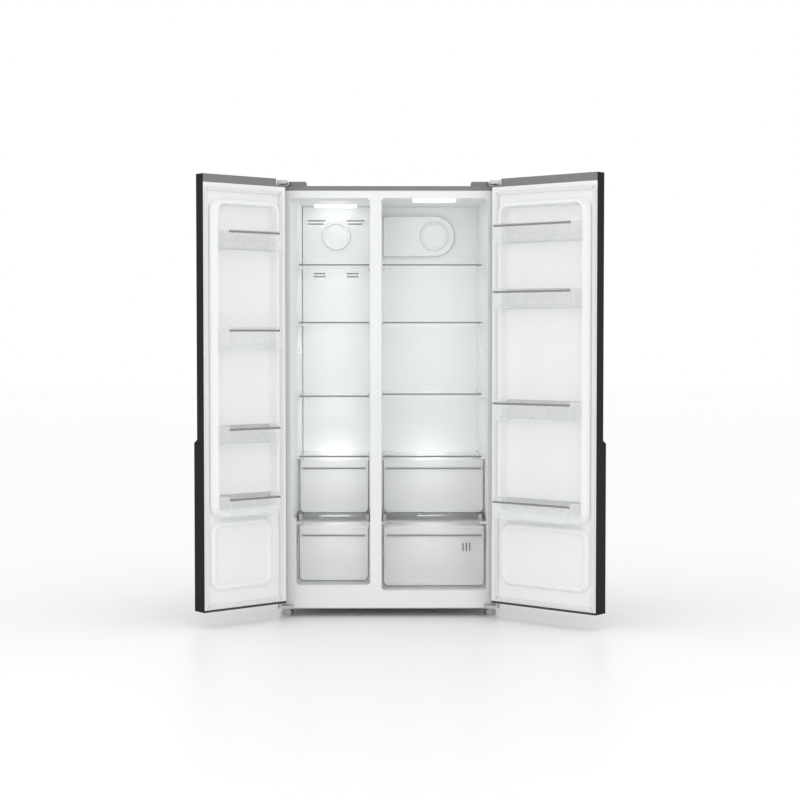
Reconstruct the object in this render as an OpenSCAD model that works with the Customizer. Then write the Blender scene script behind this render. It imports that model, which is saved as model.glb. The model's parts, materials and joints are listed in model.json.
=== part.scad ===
// Side by side refrigerator: freezer on the left, refrigerator on the right.
// +X is to the right, +Y to the back and +Z up. The origin is on the floor, under the middle
// of the cabinet's front face. Both doors are drawn open, at their stops.

/* [Cabinet] */
// Width of the cabinet
cab_w = 910; // [750:10:1100]
// Height of the cabinet's top above the floor
cab_h = 1765; // [1470:5:2120]
// Depth of the cabinet behind its front face
cab_d = 620; // [515:5:750]
// Thickness of the steel wrap
skin_t = 1; // [0.6:0.1:1.5]
// Height of the base plate's underside above the floor
base_z = 33; // [30:1:45]
// Width of the steel wrap's folded front edge
fold_w = 19; // [12:1:22]
// Width of the divider between the two compartments, at the front
divider_w = 46.5; // [38:0.5:58]
// Distance of the divider's middle to the left of the cabinet's middle
divider_off = 53.4; // [0:0.1:90]

/* [Compartments] */
// Thickness of the liners
liner_t = 2; // [1.5:0.1:3]
// Side wall from the cabinet's side to the compartment, at the front
side_wall = 52; // [48:1:62]
// Top wall from the cabinet's top to the compartment's ceiling
top_wall = 49; // [45:1:60]
// Height of the freezer's floor above the floor
freezer_floor = 130; // [120:1:150]
// Height of the refrigerator's floor above the floor
fridge_floor = 108; // [104:1:130]
// Insulation between the freezer's liner and the cabinet's back
freezer_back_wall = 78; // [60:1:95]
// Insulation between the refrigerator's liner and the cabinet's back
fridge_back_wall = 118; // [80:1:140]
// Space for the evaporator, behind the freezer's back panel
coil_room = 90; // [85:1:110]
// Height of the compressor compartment's roof
machine_h = 250; // [235:1:260]
// Depth of the compressor compartment
machine_d = 204; // [200:1:240]

/* [Shelves and drawers] */
// Distance of the shelves' front edges behind the cabinet's front face
shelf_y = 110; // [106:1:130]
// Thickness of a glass shelf
glass_t = 5; // [4:0.5:6]
// Height of the grey trim along a shelf's front edge
trim_h = 9; // [7:0.5:16]
// Height of the underside of the shelf over the drawers
cover_z = 648; // [630:1:700]
// Height of an upper drawer's floor
upper_drawer_z = 416; // [412:1:430]
// Height of a lower drawer's top edge
lower_drawer_top = 370; // [360:1:374]
// Distance of the lower drawers' fronts behind the cabinet's front face
lower_y = 45; // [40:1:60]
// Wall of a drawer
drawer_t = 3; // [2.5:0.1:4]
// Corner radius at the bottom of a drawer
drawer_r = 22; // [12:1:30]
// How far an upper drawer pulls out
upper_travel = 240; // [180:5:260]
// How far a lower drawer pulls out
lower_travel = 250; // [180:5:260]

/* [Doors] */
// Angle at which the doors are open
door_open = 140; // [0:5:140]
// Thickness of a door without its gasket
door_t = 74; // [66:1:88]
// Gap between a closed door and the cabinet
door_gap = 10; // [8:0.5:13]
// Gap between the two closed doors
meet_gap = 4; // [3:0.5:8]
// Height of a door's bottom edge above the floor
door_z0 = 65; // [62:1:75]
// How far a door stands above the cabinet's top
door_rise = 23; // [21:1:30]
// Radius of a door's upright front edges
edge_r = 8; // [5:1:12]
// Height of a door's top cap
top_cap_h = 33; // [30:1:45]
// Height of a door's bottom cap
bottom_cap_h = 9; // [8:1:12]
// Height of the raised rim on the upper part of a door's liner
rim_v = 45; // [38:1:50]
// Height of the raised panel on the lower part of a door's liner
low_rim_v = 18; // [12:1:22]
// Height above the floor from which the levels of the door bins are counted
rack_z = 440; // [436:1:460]
// How far a door bin stands in from the door's inner face
bin_v = 105; // [90:1:110]
// Height of a bin from its floor to the middle of its rail
bin_h = 66; // [50:1:76]
// Height of a bin's rail
rail_h = 8; // [6:1:12]

/* [Grip recess] */
// Width of the grip recess along each door's free edge
grip_w = 30; // [24:1:34]
// Depth of the grip recess
grip_d = 26; // [22:1:30]
// How far the finger pull reaches in behind the front
grip_under = 12; // [8:1:16]
// Height above the floor of the recess's lower end
grip_z = 746; // [700:1:900]

/* [Hinges, feet and rollers] */
// Distance of the hinge pins from the cabinet's sides
pin_in = 11; // [10:0.5:13]
// Distance of the hinge pins in front of the cabinet's front face
pin_front = 37; // [34:0.5:40]
// Radius of a hinge pin
pin_r = 5; // [4:0.5:6]
// Radius of a levelling foot
foot_r = 23.5; // [20:0.5:26]
// Radius of a rear roller
roller_r = 24; // [20:1:26]

/* [Hidden] */
$fn = 64;

// Colours
GRAPHITE = [0.10, 0.10, 0.11];
GREY = [0.52, 0.53, 0.55];
DARK = [0.25, 0.26, 0.27];
WHITE = [0.95, 0.95, 0.96];
CLEAR = [0.86, 0.90, 0.93, 0.5];
STEEL = [0.70, 0.71, 0.72];
FOAM = [0.93, 0.88, 0.68];
COPPER = [0.72, 0.45, 0.30];

// Clearances
slide_gap = 0.5;
bore_gap = 0.05;

// Cabinet
half_w = cab_w / 2;
in_w = half_w - skin_t;
base_t = 1.5;
base_top = base_z + base_t;
foam_z = 70;
frame_t = 3;
frame_w = half_w - fold_w;
frame_top = cab_h - fold_w;
frame_z = base_top + 1.5;
groove_z = 93;
groove_w = 2;
mouth_r = 18;
ceiling = cab_h - top_wall;
divider_l = -divider_off - divider_w / 2;
divider_r = -divider_off + divider_w / 2;

// Freezer compartment in plan: wide mouth, then a flare down to the narrower body
fz_l = side_wall - half_w;
fz_flare = 22;
fz_flare_y = 105;
fz_flare_z = 400;
fz_taper = 7;
fz_divider_taper = 4;
fz_back = cab_d - freezer_back_wall - liner_t;
fz_panel_t = 3;
fz_panel_y = fz_back - coil_room;
// Refrigerator compartment in plan: the side wall comes in towards the back
rf_r = half_w - side_wall + 2;
rf_taper = 18;
rf_divider_taper = 4;
rf_back = cab_d - fridge_back_wall - liner_t;
// The floor of both liners steps up over the compressor compartment
machine_y = cab_d - machine_d;
step_y = machine_y - 31;
step_z = machine_h + 40;

// Shelf levels, as shares of the height between the drawer cover and the ceiling
fz_levels = [0.232, 0.520, 0.745];
rf_levels = [0.240, 0.520, 0.745];
cover_top = cover_z + glass_t;
ledge_w = 9;
ledge_h = 7;
wall_gap = 1;
duct_y = 24;

// Doors
left_w = half_w - divider_off - meet_gap / 2;
right_w = half_w + divider_off - meet_gap / 2;
pin_x = half_w - pin_in;
pin_y = -pin_front;
door_y = -door_gap - door_t;
door_top = cab_h + door_rise;
cap_z = door_top - top_cap_h;
cap_low = door_z0 + bottom_cap_h;
pin_v = door_gap + door_t - pin_front;
recess_z = cap_z + 9;
arm_z = recess_z + 7;
arm_t = 3;
arm_top = door_top - 3;
arm_out = 9;
arm_in = 32;
recess_r = arm_in + 2.5;
socket_r = 8.6;
socket_l = 36;
lining = 2.5;
grip_lip = 6.5;
grip_slope = 18;
gasket_v = door_gap - 0.4;
gasket_in = 24;
gasket_w = 13;
gasket_low = 80;
rim_low_z = freezer_floor + 10;
rim_top = ceiling - 21;
rim_base = side_wall - 1;
rim_slope = 12;
rim_crest = 12;
rim_free = divider_w / 2 - meet_gap / 2 - 1.25;
pocket_v = 8;
pocket_slope = 6;
bin_t = 2.5;
bin_back = 4;
ear_h = 14;
left_levels = [0.059, 0.278, 0.586, 0.892];
right_levels = [0.041, 0.355, 0.708, 0.917];
left_front = [98, 46];
right_front = [76, 50];
// Each door's high rim begins under the floor of its lowest bin
bin_under = rim_crest + 4;
left_rim_z = rail_z(left_levels[0]) - bin_h - bin_under;
right_rim_z = rail_z(right_levels[0]) - bin_h - bin_under;

// Feet and rollers
foot_y = 55;
foot_x = half_w - 36;
roller_y = cab_d - 48;
roller_x = half_w - 45;
roller_w = 22;
fork_x = roller_w / 2 + base_t / 2 + 1;
axle_r = 4;

// Machinery
coil_rows = 6;
coil_pitch = 80;
coil_x = [fz_l + fz_flare + fz_taper + coil_pitch / 2 + 10, divider_l - 30];
coil_d = [14, 42];
fan_z = ceiling - 127;
fz_mid = (fz_l + fz_flare + divider_l) / 2;
rf_mid = (divider_r + rf_r) / 2;
ring_r = 64;
fan_r = 50;
cfan_x = 90;
cfan_r = 62;
cfan_z = base_top + 80;
machine_mid = cab_d - machine_d / 2;
comp_x = 270;
comp_r = 68;
comp_h = 165;

// A box from its low corner to its high corner
module slab(x0, x1, y0, y1, z0, z1) {
    translate([x0, y0, z0]) cube([x1 - x0, y1 - y0, z1 - z0]);
}

// A rectangle whose four corners are rounded by true arcs
module round_rect(x0, x1, y0, y1, r) {
    translate([x0 + r, y0]) square([x1 - x0 - 2 * r, y1 - y0]);
    translate([x0, y0 + r]) square([x1 - x0, y1 - y0 - 2 * r]);
    for (x = [x0 + r, x1 - r], y = [y0 + r, y1 - r]) translate([x, y]) circle(r);
}

// A slot w wide and h high with full round ends, centred on x and y
module stadium(x, y, w, h) translate([x, y]) {
    r = min(w, h) / 2;
    square(w > h ? [w - 2 * r, h] : [w, h - 2 * r], center = true);
    for (s = [-1, 1]) translate(w > h ? [s * (w / 2 - r), 0] : [0, s * (h / 2 - r)]) circle(r);
}

// A flat outline in X and Z, given a thickness from y0 to y1
module upright(y0, y1) {
    translate([0, y1, 0]) rotate([90, 0, 0]) linear_extrude(y1 - y0) children();
}

module both_sides() {
    children();
    mirror([1, 0, 0]) children();
}

// ---------- compartments ----------

// Plan of the freezer, grown outwards by t; the mouth is flared where flare is above zero
module freezer_plan(t, flare, back) {
    wide = fz_l + fz_flare - flare;
    polygon([[wide - t, -1], [wide - t, 0], [fz_l + fz_flare - t, fz_flare_y],
        [fz_l + fz_flare + fz_taper - t, back + t],
        [divider_l - fz_divider_taper + t, back + t], [divider_l + t, 0], [divider_l + t, -1]]);
}

module freezer_room(t) {
    translate([0, 0, fz_flare_z - t])
        linear_extrude(ceiling - fz_flare_z + 2 * t) freezer_plan(t, fz_flare, fz_back);
    translate([0, 0, step_z - t])
        linear_extrude(ceiling - step_z + 2 * t) freezer_plan(t, 0, fz_back);
    translate([0, 0, freezer_floor - t])
        linear_extrude(step_z - freezer_floor + 2 * t) freezer_plan(t, 0, step_y);
}

module fridge_plan(t, back) {
    polygon([[divider_r - t, -1], [divider_r - t, 0], [divider_r + rf_divider_taper - t, back + t],
        [rf_r - rf_taper + t, back + t], [rf_r + t, 0], [rf_r + t, -1]]);
}

module fridge_room(t) {
    translate([0, 0, step_z - t])
        linear_extrude(ceiling - step_z + 2 * t) fridge_plan(t, rf_back);
    translate([0, 0, fridge_floor - t])
        linear_extrude(step_z - fridge_floor + 2 * t) fridge_plan(t, step_y);
}

function fz_shelf_z(i) = cover_top + fz_levels[i] * (ceiling - cover_top);
function rf_shelf_z(i) = cover_top + rf_levels[i] * (ceiling - cover_top);

// Side walls behind the mouths, and the widths between them that a shelf can fill
fz_in = [fz_l + fz_flare, divider_l];
rf_in = [divider_r, rf_r];
fz_span = [fz_in[0] + fz_taper + wall_gap, fz_in[1] - fz_divider_taper - wall_gap];
rf_span = [rf_in[0] + rf_divider_taper + wall_gap, rf_in[1] - rf_taper - wall_gap];

// Ledges along both side walls, under each of the heights z, that carry the shelves
module ledges(span, y0, y1, heights) difference() {
    for (z = heights) slab(-half_w, half_w, y0, y1, z - ledge_h, z);
    slab(span[0] + ledge_w, span[1] - ledge_w, y0 - 1, y1 + 1, 0, cab_h);
}

module freezer_liner() color(WHITE) {
    difference() {
        freezer_room(liner_t);
        freezer_room(0);
        slab(-half_w, half_w, -2, frame_t, 0, cab_h);
    }
    intersection() {
        ledges(fz_span, shelf_y + 8, fz_panel_y - 12,
            [fz_shelf_z(0), fz_shelf_z(1), fz_shelf_z(2), cover_z]);
        freezer_room(liner_t / 2);
    }
    intersection() {
        ledges(fz_span, lower_y + 8, step_y - 12, [mid_z]);
        freezer_room(liner_t / 2);
    }
}

module fridge_liner() color(WHITE) {
    difference() {
        fridge_room(liner_t);
        fridge_room(0);
        slab(-half_w, half_w, -2, frame_t, 0, cab_h);
    }
    intersection() {
        ledges(rf_span, shelf_y + 8, rf_back - duct_y - 14,
            [rf_shelf_z(0), rf_shelf_z(1), rf_shelf_z(2), cover_z]);
        fridge_room(liner_t / 2);
    }
    intersection() {
        ledges(rf_span, lower_y + 8, step_y - 12, [mid_z]);
        fridge_room(liner_t / 2);
    }
}

// ---------- cabinet ----------

module outer_shell() color(GREY) difference() {
    slab(-half_w, half_w, 0, cab_d - skin_t, base_z, cab_h);
    slab(-in_w, in_w, skin_t, cab_d, base_z - 1, cab_h - skin_t);
    slab(-frame_w, frame_w, -1, cab_d, base_z - 1, frame_top);
}

module back_plate() color(GREY) difference() {
    slab(-half_w, half_w, cab_d - skin_t, cab_d, machine_h, cab_h);
    // Stamped panel lines
    for (z = [machine_h + 120 : 220 : cab_h - 100])
        slab(-half_w + 60, half_w - 60, cab_d - 0.4, cab_d + 1, z, z + 8);
}

module base_plate() color(STEEL) {
    difference() {
        slab(-in_w, in_w, frame_t, cab_d - skin_t, base_z, base_top);
        for (s = [-1, 1]) {
            translate([s * foot_x, foot_y, base_z - 1]) cylinder(r = axle_r + 1 + bore_gap, h = 9);
            slab(s * roller_x - fork_x + 0.5, s * roller_x + fork_x - 0.5,
                roller_y - roller_r - 4, roller_y + roller_r + 4, base_z - 1, base_top + 1);
        }
        // Air slots in front of the condenser
        for (x = [-180 : 24 : 60]) slab(x, x + 12, 140, 300, base_z - 1, base_top + 1);
    }
    // Threaded bosses of the feet
    for (s = [-1, 1]) translate([s * foot_x, foot_y, base_top]) difference() {
        cylinder(r = 10, h = 9);
        translate([0, 0, -1]) cylinder(r = axle_r + 1 + bore_gap, h = 11);
    }
    // Roller forks with their axles
    for (s = [-1, 1]) {
        for (d = [-1, 1])
            slab(s * roller_x + d * fork_x - base_t / 2, s * roller_x + d * fork_x + base_t / 2,
                roller_y - 14, roller_y + 14, roller_r - 10, base_top);
        translate([s * roller_x - fork_x, roller_y, roller_r])
            rotate([0, 90, 0]) cylinder(r = axle_r, h = 2 * fork_x);
    }
    // Wall and roof of the compressor compartment
    slab(-in_w, in_w, machine_y, machine_y + base_t, base_top, machine_h);
    slab(-in_w, in_w, machine_y, cab_d - skin_t, machine_h - base_t, machine_h);
}

module front_frame() color(WHITE) difference() {
    union() {
        slab(-frame_w, frame_w, 0, frame_t, frame_z, frame_top);
        // The bottom beam stands back to the base plate
        slab(-frame_w, frame_w, frame_t, frame_t + 12, frame_z, foam_z);
    }
    upright(-1, frame_t + 1) {
        round_rect(fz_l + fz_flare, divider_l, freezer_floor, fz_flare_z + 60, mouth_r);
        round_rect(fz_l, divider_l, fz_flare_z, ceiling, mouth_r);
        round_rect(divider_r, rf_r, fridge_floor, ceiling, mouth_r);
    }
    slab(-frame_w - 1, frame_w + 1, -1, 0.8, groove_z - groove_w / 2, groove_z + groove_w / 2);
}

module cabinet_foam() color(FOAM) difference() {
    slab(-in_w, in_w, skin_t, cab_d - skin_t, foam_z, cab_h - skin_t);
    slab(-frame_w, frame_w, 0, frame_t, base_z, frame_top);
    freezer_room(liner_t);
    fridge_room(liner_t);
    slab(-half_w, half_w, machine_y, cab_d, base_z, machine_h);
}

module freezer_back_panel() color(WHITE) difference() {
    translate([0, 0, step_z])
        linear_extrude(ceiling - wall_gap - step_z)
            polygon([[fz_in[0] + fz_taper + wall_gap, fz_panel_y],
                [fz_in[0] + fz_taper + wall_gap, fz_panel_y + fz_panel_t],
                [fz_in[1] - fz_divider_taper - wall_gap, fz_panel_y + fz_panel_t],
                [fz_in[1] - fz_divider_taper - wall_gap, fz_panel_y]]);
    // Outlet of the fan and the two groups of air slots beside it
    translate([fz_mid, fz_panel_y - 1, fan_z]) rotate([-90, 0, 0]) cylinder(r = ring_r - 12, h = 9);
    for (s = [-1, 1], k = [0 : 5]) {
        slot(fz_mid + s * (52 + 13 * k), fan_z + 65);
        if (k < 5) slot(fz_mid + s * (60 + 13 * k), fan_z + 51);
        if (k < 4) slot(fz_mid + s * (52 + 13 * k), fz_shelf_z(2) - 20);
        if (k < 4) slot(fz_mid + s * (52 + 13 * k), fz_shelf_z(2) - 33);
    }
    // Seam between the panel's upper and lower halves
    slab(fz_in[0], fz_in[1], fz_panel_y - 1, fz_panel_y + 1, cover_z + 470, cover_z + 472);
}

module slot(x, z) {
    upright(fz_panel_y - 1, fz_panel_y + fz_panel_t + 1) stadium(x, z, 10, 6);
}

module fridge_air_duct() color(WHITE) {
    duct_r = 88;
    upright(rf_back - duct_y, rf_back) {
        translate([rf_mid + 12, fan_z]) circle(duct_r);
        translate([rf_in[0] + rf_divider_taper + wall_gap, fan_z - duct_r])
            square([rf_mid + 12 - rf_in[0] - rf_divider_taper - wall_gap, 2 * duct_r]);
    }
}

module vent_ring() {
    rotate([90, 0, 0]) {
        rotate_extrude() translate([ring_r - 8, 0]) {
            translate([0, 3]) circle(6);
            translate([-6, -4]) square([12, 7]);
        }
        translate([0, 0, -4]) cylinder(r = ring_r - 18, h = 7);
        for (a = [0 : 45 : 315]) rotate([0, 0, a])
            translate([ring_r - 19, -2, -3]) cube([7, 4, 4]);
    }
}

module vent_rings() color(WHITE) {
    translate([fz_mid, fz_panel_y - 4, fan_z]) vent_ring();
    translate([rf_mid + 12, rf_back - duct_y - 4, fan_z]) vent_ring();
}

module lamp_lenses() color([1, 1, 0.97]) {
    translate([0, 0, ceiling - 9]) {
        linear_extrude(9) round_rect(fz_mid - 90, fz_mid + 90, fz_panel_y - 90, fz_panel_y - 40, 12);
        linear_extrude(9) round_rect(rf_mid - 88, rf_mid + 88, 40, 100, 12);
    }
}

module sensor_cover() {
    difference() {
        linear_extrude(34) round_rect(0, 9, -12, 12, 4);
        for (z = [7 : 6 : 25]) slab(-1, 11, -8, 8, z, z + 2.5);
    }
}

module sensor_covers() color(WHITE) {
    sensor_y = cab_d * 0.4;
    z = fz_shelf_z(1) - 130;
    intersection() {
        translate([fz_in[0] + fz_taper * sensor_y / fz_back - 1, sensor_y, z]) sensor_cover();
        freezer_room(0);
    }
    intersection() {
        translate([rf_in[1] - rf_taper * sensor_y / rf_back + 1, sensor_y, z])
            mirror([1, 0, 0]) sensor_cover();
        fridge_room(0);
    }
}

// ---------- shelves ----------

// Glass shelf between two side walls, with its grey trim along the front edge
module shelf(x0, x1, y1, z) {
    color(CLEAR) slab(x0, x1, shelf_y + 3, y1, z, z + glass_t);
    color(GREY) difference() {
        slab(x0, x1, shelf_y, shelf_y + 18, z - trim_h + glass_t + 2, z + glass_t + 2);
        slab(x0 - 1, x1 + 1, shelf_y + 3, shelf_y + 19, z, z + glass_t);
        slab(x0 - 1, x0 + ledge_w + 3, shelf_y + 7, shelf_y + 19, z - trim_h, z + 0.01);
        slab(x1 - ledge_w - 3, x1 + 1, shelf_y + 7, shelf_y + 19, z - trim_h, z + 0.01);
    }
}

module freezer_shelf(i) {
    shelf(fz_span[0], fz_span[1], fz_panel_y - 6, fz_shelf_z(i));
}

module fridge_shelf(i) {
    shelf(rf_span[0], rf_span[1], rf_back - duct_y - 8, rf_shelf_z(i));
}

// Shelf over the drawers and the one between them
mid_z = upper_drawer_z - 31;
module drawer_shelves(span, back) {
    shelf(span[0], span[1], back, cover_z);
    color(GREY) {
        slab(span[0], span[1], lower_y, step_y - 10, mid_z, mid_z + 6);
        // Runners on both sides that the upper drawer slides on
        for (x = [span[0], span[1] - 14])
            slab(x, x + 14, lower_y + 20, step_y - 10, mid_z + 6, upper_drawer_z - slide_gap);
    }
}

module freezer_drawer_shelves() drawer_shelves(fz_span, fz_panel_y - 6);
module crisper_shelves() drawer_shelves(rf_span, rf_back - duct_y - 8);

// ---------- drawers ----------

// Outline of a drawer seen from the front: rounded below, square above
module drawer_face(x0, x1, z0, z1, r) {
    translate([x0, z0 + r]) square([x1 - x0, z1 - z0 - r]);
    translate([x0 + r, z0]) square([x1 - x0 - 2 * r, r + 1]);
    for (x = [x0 + r, x1 - r]) translate([x, z0 + r]) circle(r);
}

// Body of a drawer, inset by t all round; its right side comes in by narrow towards the back
module drawer_form(x, y, z, narrow, t) intersection() {
    upright(y[0] + t, y[1] - t)
        drawer_face(x[0] + t, x[1] - t, z[0] + t, z[1] + (t > 0 ? drawer_r : 0), drawer_r - t);
    linear_extrude(z[1] + 2 * drawer_r) polygon([[x[0] + t, y[0] - 1], [x[0] + t, y[1] + 1],
        [x[1] - narrow - t, y[1] + 1], [x[1] - t, y[0] - 1]]);
}

module drawer(x, y, z, narrow, pull_z) color(CLEAR) {
    difference() {
        drawer_form(x, y, z, narrow, 0);
        drawer_form(x, y, z, narrow, drawer_t);
    }
    // Pull along the top of the front
    slab(x[0] + 12, x[1] - 12, y[0] - 9, y[0], pull_z, pull_z + 3);
    slab(x[0] + 12, x[1] - 12, y[0] - 9, y[0] - 6.5, pull_z - 12, pull_z);
}

side_gap = 2;
upper_z = [upper_drawer_z, cover_z - ledge_h - 2];
fz_drawer_x = [fz_in[0] + fz_taper + side_gap, fz_in[1] - fz_divider_taper - side_gap];
rf_drawer_x = [rf_in[0] + rf_divider_taper + side_gap, rf_in[1] - 8];
rf_narrow = rf_taper + side_gap - 8;
fz_upper_y = [shelf_y, fz_panel_y - 12];
rf_upper_y = [shelf_y, rf_back - duct_y - 14];
low_y = [lower_y, step_y - 6];

module freezer_drawer_upper() drawer(fz_drawer_x, fz_upper_y, upper_z, 0, cover_z - 45);
module freezer_drawer_lower()
    drawer(fz_drawer_x, low_y, [freezer_floor + 11, lower_drawer_top], 0, lower_drawer_top - 40);
module crisper_upper() drawer(rf_drawer_x, rf_upper_y, upper_z, rf_narrow, cover_z - 45);
module crisper_lower() {
    vent_x = rf_drawer_x[1] - 88;
    difference() {
        drawer(rf_drawer_x, low_y, [fridge_floor + 11, lower_drawer_top], rf_narrow,
            lower_drawer_top - 40);
        // Three upright slots that let the crisper breathe
        for (k = [-1 : 1]) upright(lower_y - 1, lower_y + drawer_t + 1)
            stadium(vent_x + 12 * k, lower_drawer_top - 88, 5, 36);
    }
}

// ---------- machinery ----------

module coil_tubes(r, y0, z0, over) {
    for (k = [0 : coil_rows - 1], d = coil_d) translate([coil_x[0] - over, y0 + d, z0 + k * coil_pitch])
        rotate([0, 90, 0]) cylinder(r = r, h = coil_x[1] - coil_x[0] + 2 * over);
}

module evaporator() color(STEEL) {
    z0 = step_z + 120;
    y0 = fz_panel_y + fz_panel_t + 16;
    // Fins on the tubes
    difference() {
        for (x = [coil_x[0] + 12 : 20 : coil_x[1] - 10])
            slab(x, x + 1, y0, y0 + 56, z0 - 25, z0 + (coil_rows - 1) * coil_pitch + 25);
        coil_tubes(4, y0, z0, 1);
    }
    coil_tubes(4, y0, z0, 0);
    // Bends join each front tube to the back one, and lifts join the rows
    for (k = [0 : coil_rows - 1]) translate([coil_x[1], y0 + 28, z0 + k * coil_pitch])
        rotate([0, 0, -90]) rotate_extrude(angle = 180) translate([14, 0]) circle(4);
    for (k = [0 : coil_rows - 2]) translate([coil_x[0], y0 + coil_d[k % 2],
        z0 + (k + 0.5) * coil_pitch])
        rotate([90, 0, 0]) rotate([0, 0, 90]) rotate_extrude(angle = 180)
            translate([coil_pitch / 2, 0]) circle(4);
}

module compressor() color(DARK) translate([comp_x, machine_mid, base_top]) {
    for (x = [-62, 62], y = [-42, 42]) translate([x, y, 0]) cylinder(r = 11, h = 14);
    linear_extrude(3) round_rect(-78, 78, -58, 58, 12);
    translate([0, 0, 3]) rotate_extrude() {
        translate([0, 9]) square([comp_r, comp_h - 60]);
        square([comp_r - 16, 12]);
        intersection() {
            translate([0, comp_h - 52]) circle(comp_r);
            translate([0, comp_h - 52]) square([comp_r, 46]);
        }
    }
    // Suction and discharge stubs, and the terminal cover
    translate([-comp_r + 6, 20, 110]) rotate([0, -90, 0]) cylinder(r = 4.5, h = 26);
    translate([-comp_r + 6, -20, 60]) rotate([0, -90, 0]) cylinder(r = 3.5, h = 26);
    slab(comp_r - 8, comp_r + 26, -24, 24, 40, 104);
}

cond_x = [-170, 40];
module condenser() color(COPPER) {
    pitch = 24;
    rows = 6;
    y0 = machine_mid - 48;
    z0 = base_top + 22;
    tubes = [0, 1, 2, 3];
    for (k = [0 : rows - 1], c = tubes) translate([cond_x[0], y0 + c * 32, z0 + k * pitch])
        rotate([0, 90, 0]) cylinder(r = 3.2, h = cond_x[1] - cond_x[0]);
    for (c = tubes, k = [0 : rows - 2])
        translate([cond_x[(k + 1) % 2], y0 + c * 32, z0 + (k + 0.5) * pitch])
            rotate([90, 0, 0]) rotate([0, 0, k % 2 == 0 ? -90 : 90])
                rotate_extrude(angle = 180) translate([pitch / 2, 0]) circle(3.2);
    // Two plates that hold the tubes
    for (x = [cond_x[0] + 12, cond_x[1] - 14]) difference() {
        slab(x, x + 2, y0 - 10, y0 + 106, base_top, z0 + (rows - 1) * pitch + 12);
        for (k = [0 : rows - 1], c = tubes) translate([x - 1, y0 + c * 32, z0 + k * pitch])
            rotate([0, 90, 0]) cylinder(r = 3.2, h = 4);
    }
}

module fan_blades(r, hub_r, depth, blades) {
    difference() {
        cylinder(r = hub_r, h = depth);
        translate([0, 0, -1]) cylinder(r = axle_r - 1 + bore_gap, h = depth * 0.7);
    }
    intersection() {
        translate([0, 0, 1]) difference() {
            cylinder(r = r, h = depth - 2);
            translate([0, 0, -1]) cylinder(r = hub_r - 1, h = depth);
        }
        for (k = [0 : blades - 1]) rotate([0, 0, k * 360 / blades])
            translate([0, 0, depth / 2]) rotate([32, 0, 0])
                translate([hub_r - 1.5, -depth, -0.9]) cube([r, depth * 2, 1.8]);
    }
}

evap_fan_y = fz_panel_y + 34;
module evaporator_fan() color(WHITE)
    translate([fz_mid, evap_fan_y, fan_z]) rotate([90, 0, 0]) fan_blades(fan_r, 16, 22, 5);

module condenser_fan() color(DARK)
    translate([cfan_x, machine_mid, cfan_z]) rotate([0, -90, 0]) fan_blades(cfan_r, 18, 24, 6);

// A motor with a shaft that carries the fan, and a flat bracket across it
module fan_motor(reach) {
    cylinder(r = 20, h = 26);
    translate([0, 0, 25]) cylinder(r = axle_r - 1, h = 16);
    slab(-reach, reach, -7, 7, 0, 3);
}

module fan_motors() color(DARK) {
    translate([fz_mid, evap_fan_y + 30, fan_z]) rotate([90, 0, 0]) fan_motor(70);
    for (s = [-1, 1]) slab(fz_mid + s * 66 - 4, fz_mid + s * 66 + 4,
        fz_panel_y + fz_panel_t, evap_fan_y + 27, fan_z - 7, fan_z + 7);
    translate([cfan_x + 28, machine_mid, cfan_z]) rotate([0, -90, 0]) fan_motor(78);
    slab(cfan_x + 15, cfan_x + 28, machine_mid - 60, machine_mid + 60, base_top, base_top + 4);
    slab(cfan_x + 25, cfan_x + 28, machine_mid - 7, machine_mid + 7, base_top + 4, cfan_z - 70);
}

// The tray stands beside the left roller
tray_x = fork_x + 10 - roller_x;
module drip_tray() color(DARK) difference() {
    translate([0, 0, base_top]) linear_extrude(36)
        round_rect(tray_x, cond_x[0] - 60, machine_y + 14, cab_d - 18, 10);
    translate([0, 0, base_top + 2.5]) linear_extrude(36)
        round_rect(tray_x + 2.5, cond_x[0] - 62.5, machine_y + 16.5, cab_d - 20.5, 7.5);
}

inlet_x = 160 - half_w;
inlet_z = machine_h - 58;
module rear_cover() color(GREY) difference() {
    slab(-in_w, in_w, cab_d - skin_t, cab_d, base_top + 2, machine_h);
    for (x = [inlet_x + 90 : 22 : half_w - 60], r = [0 : 1])
        upright(cab_d - 3, cab_d + 1) stadium(x, base_top + 61 + r * 92, 8, 70);
    slab(inlet_x - 24, inlet_x + 24, cab_d - 3, cab_d + 1, inlet_z - 16, inlet_z + 16);
}

module mains_inlet() color(DARK) difference() {
    union() {
        slab(inlet_x - 23.8, inlet_x + 23.8, cab_d - 30, cab_d, inlet_z - 15.8, inlet_z + 15.8);
        slab(inlet_x - 29, inlet_x + 29, cab_d, cab_d + 2.5, inlet_z - 20, inlet_z + 20);
    }
    slab(inlet_x - 13, inlet_x + 13, cab_d - 22, cab_d + 3, inlet_z - 8.5, inlet_z + 8.5);
}

// ---------- hinges, feet and rollers ----------

module upper_hinge() {
    x0 = -pin_x - arm_out;
    x1 = -pin_x + arm_in;
    y0 = pin_y - arm_out;
    // Base plate on the cabinet's top, and the arm that reaches over the door's recess
    slab(x0, x1, 5, 108, cab_h, arm_z + arm_t);
    slab(x0, x1, y0, 6, arm_z, arm_z + arm_t);
    slab(x0, x1, y0, y0 + arm_t, arm_z + arm_t, arm_top);
    for (x = [x0, x1 - arm_t]) slab(x, x + arm_t, y0 + arm_t, 30, arm_z + arm_t, arm_top);
    for (y = [34, 84], x = [x0 + 12, x1 - 12])
        translate([x, y, arm_z + arm_t]) cylinder(r = 5.5, h = 4);
    translate([-pin_x, pin_y, cap_z - socket_l + 12]) cylinder(r = pin_r, h = arm_top - cap_z + socket_l - 12);
}

module upper_hinges() color(STEEL) both_sides() upper_hinge();

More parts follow.
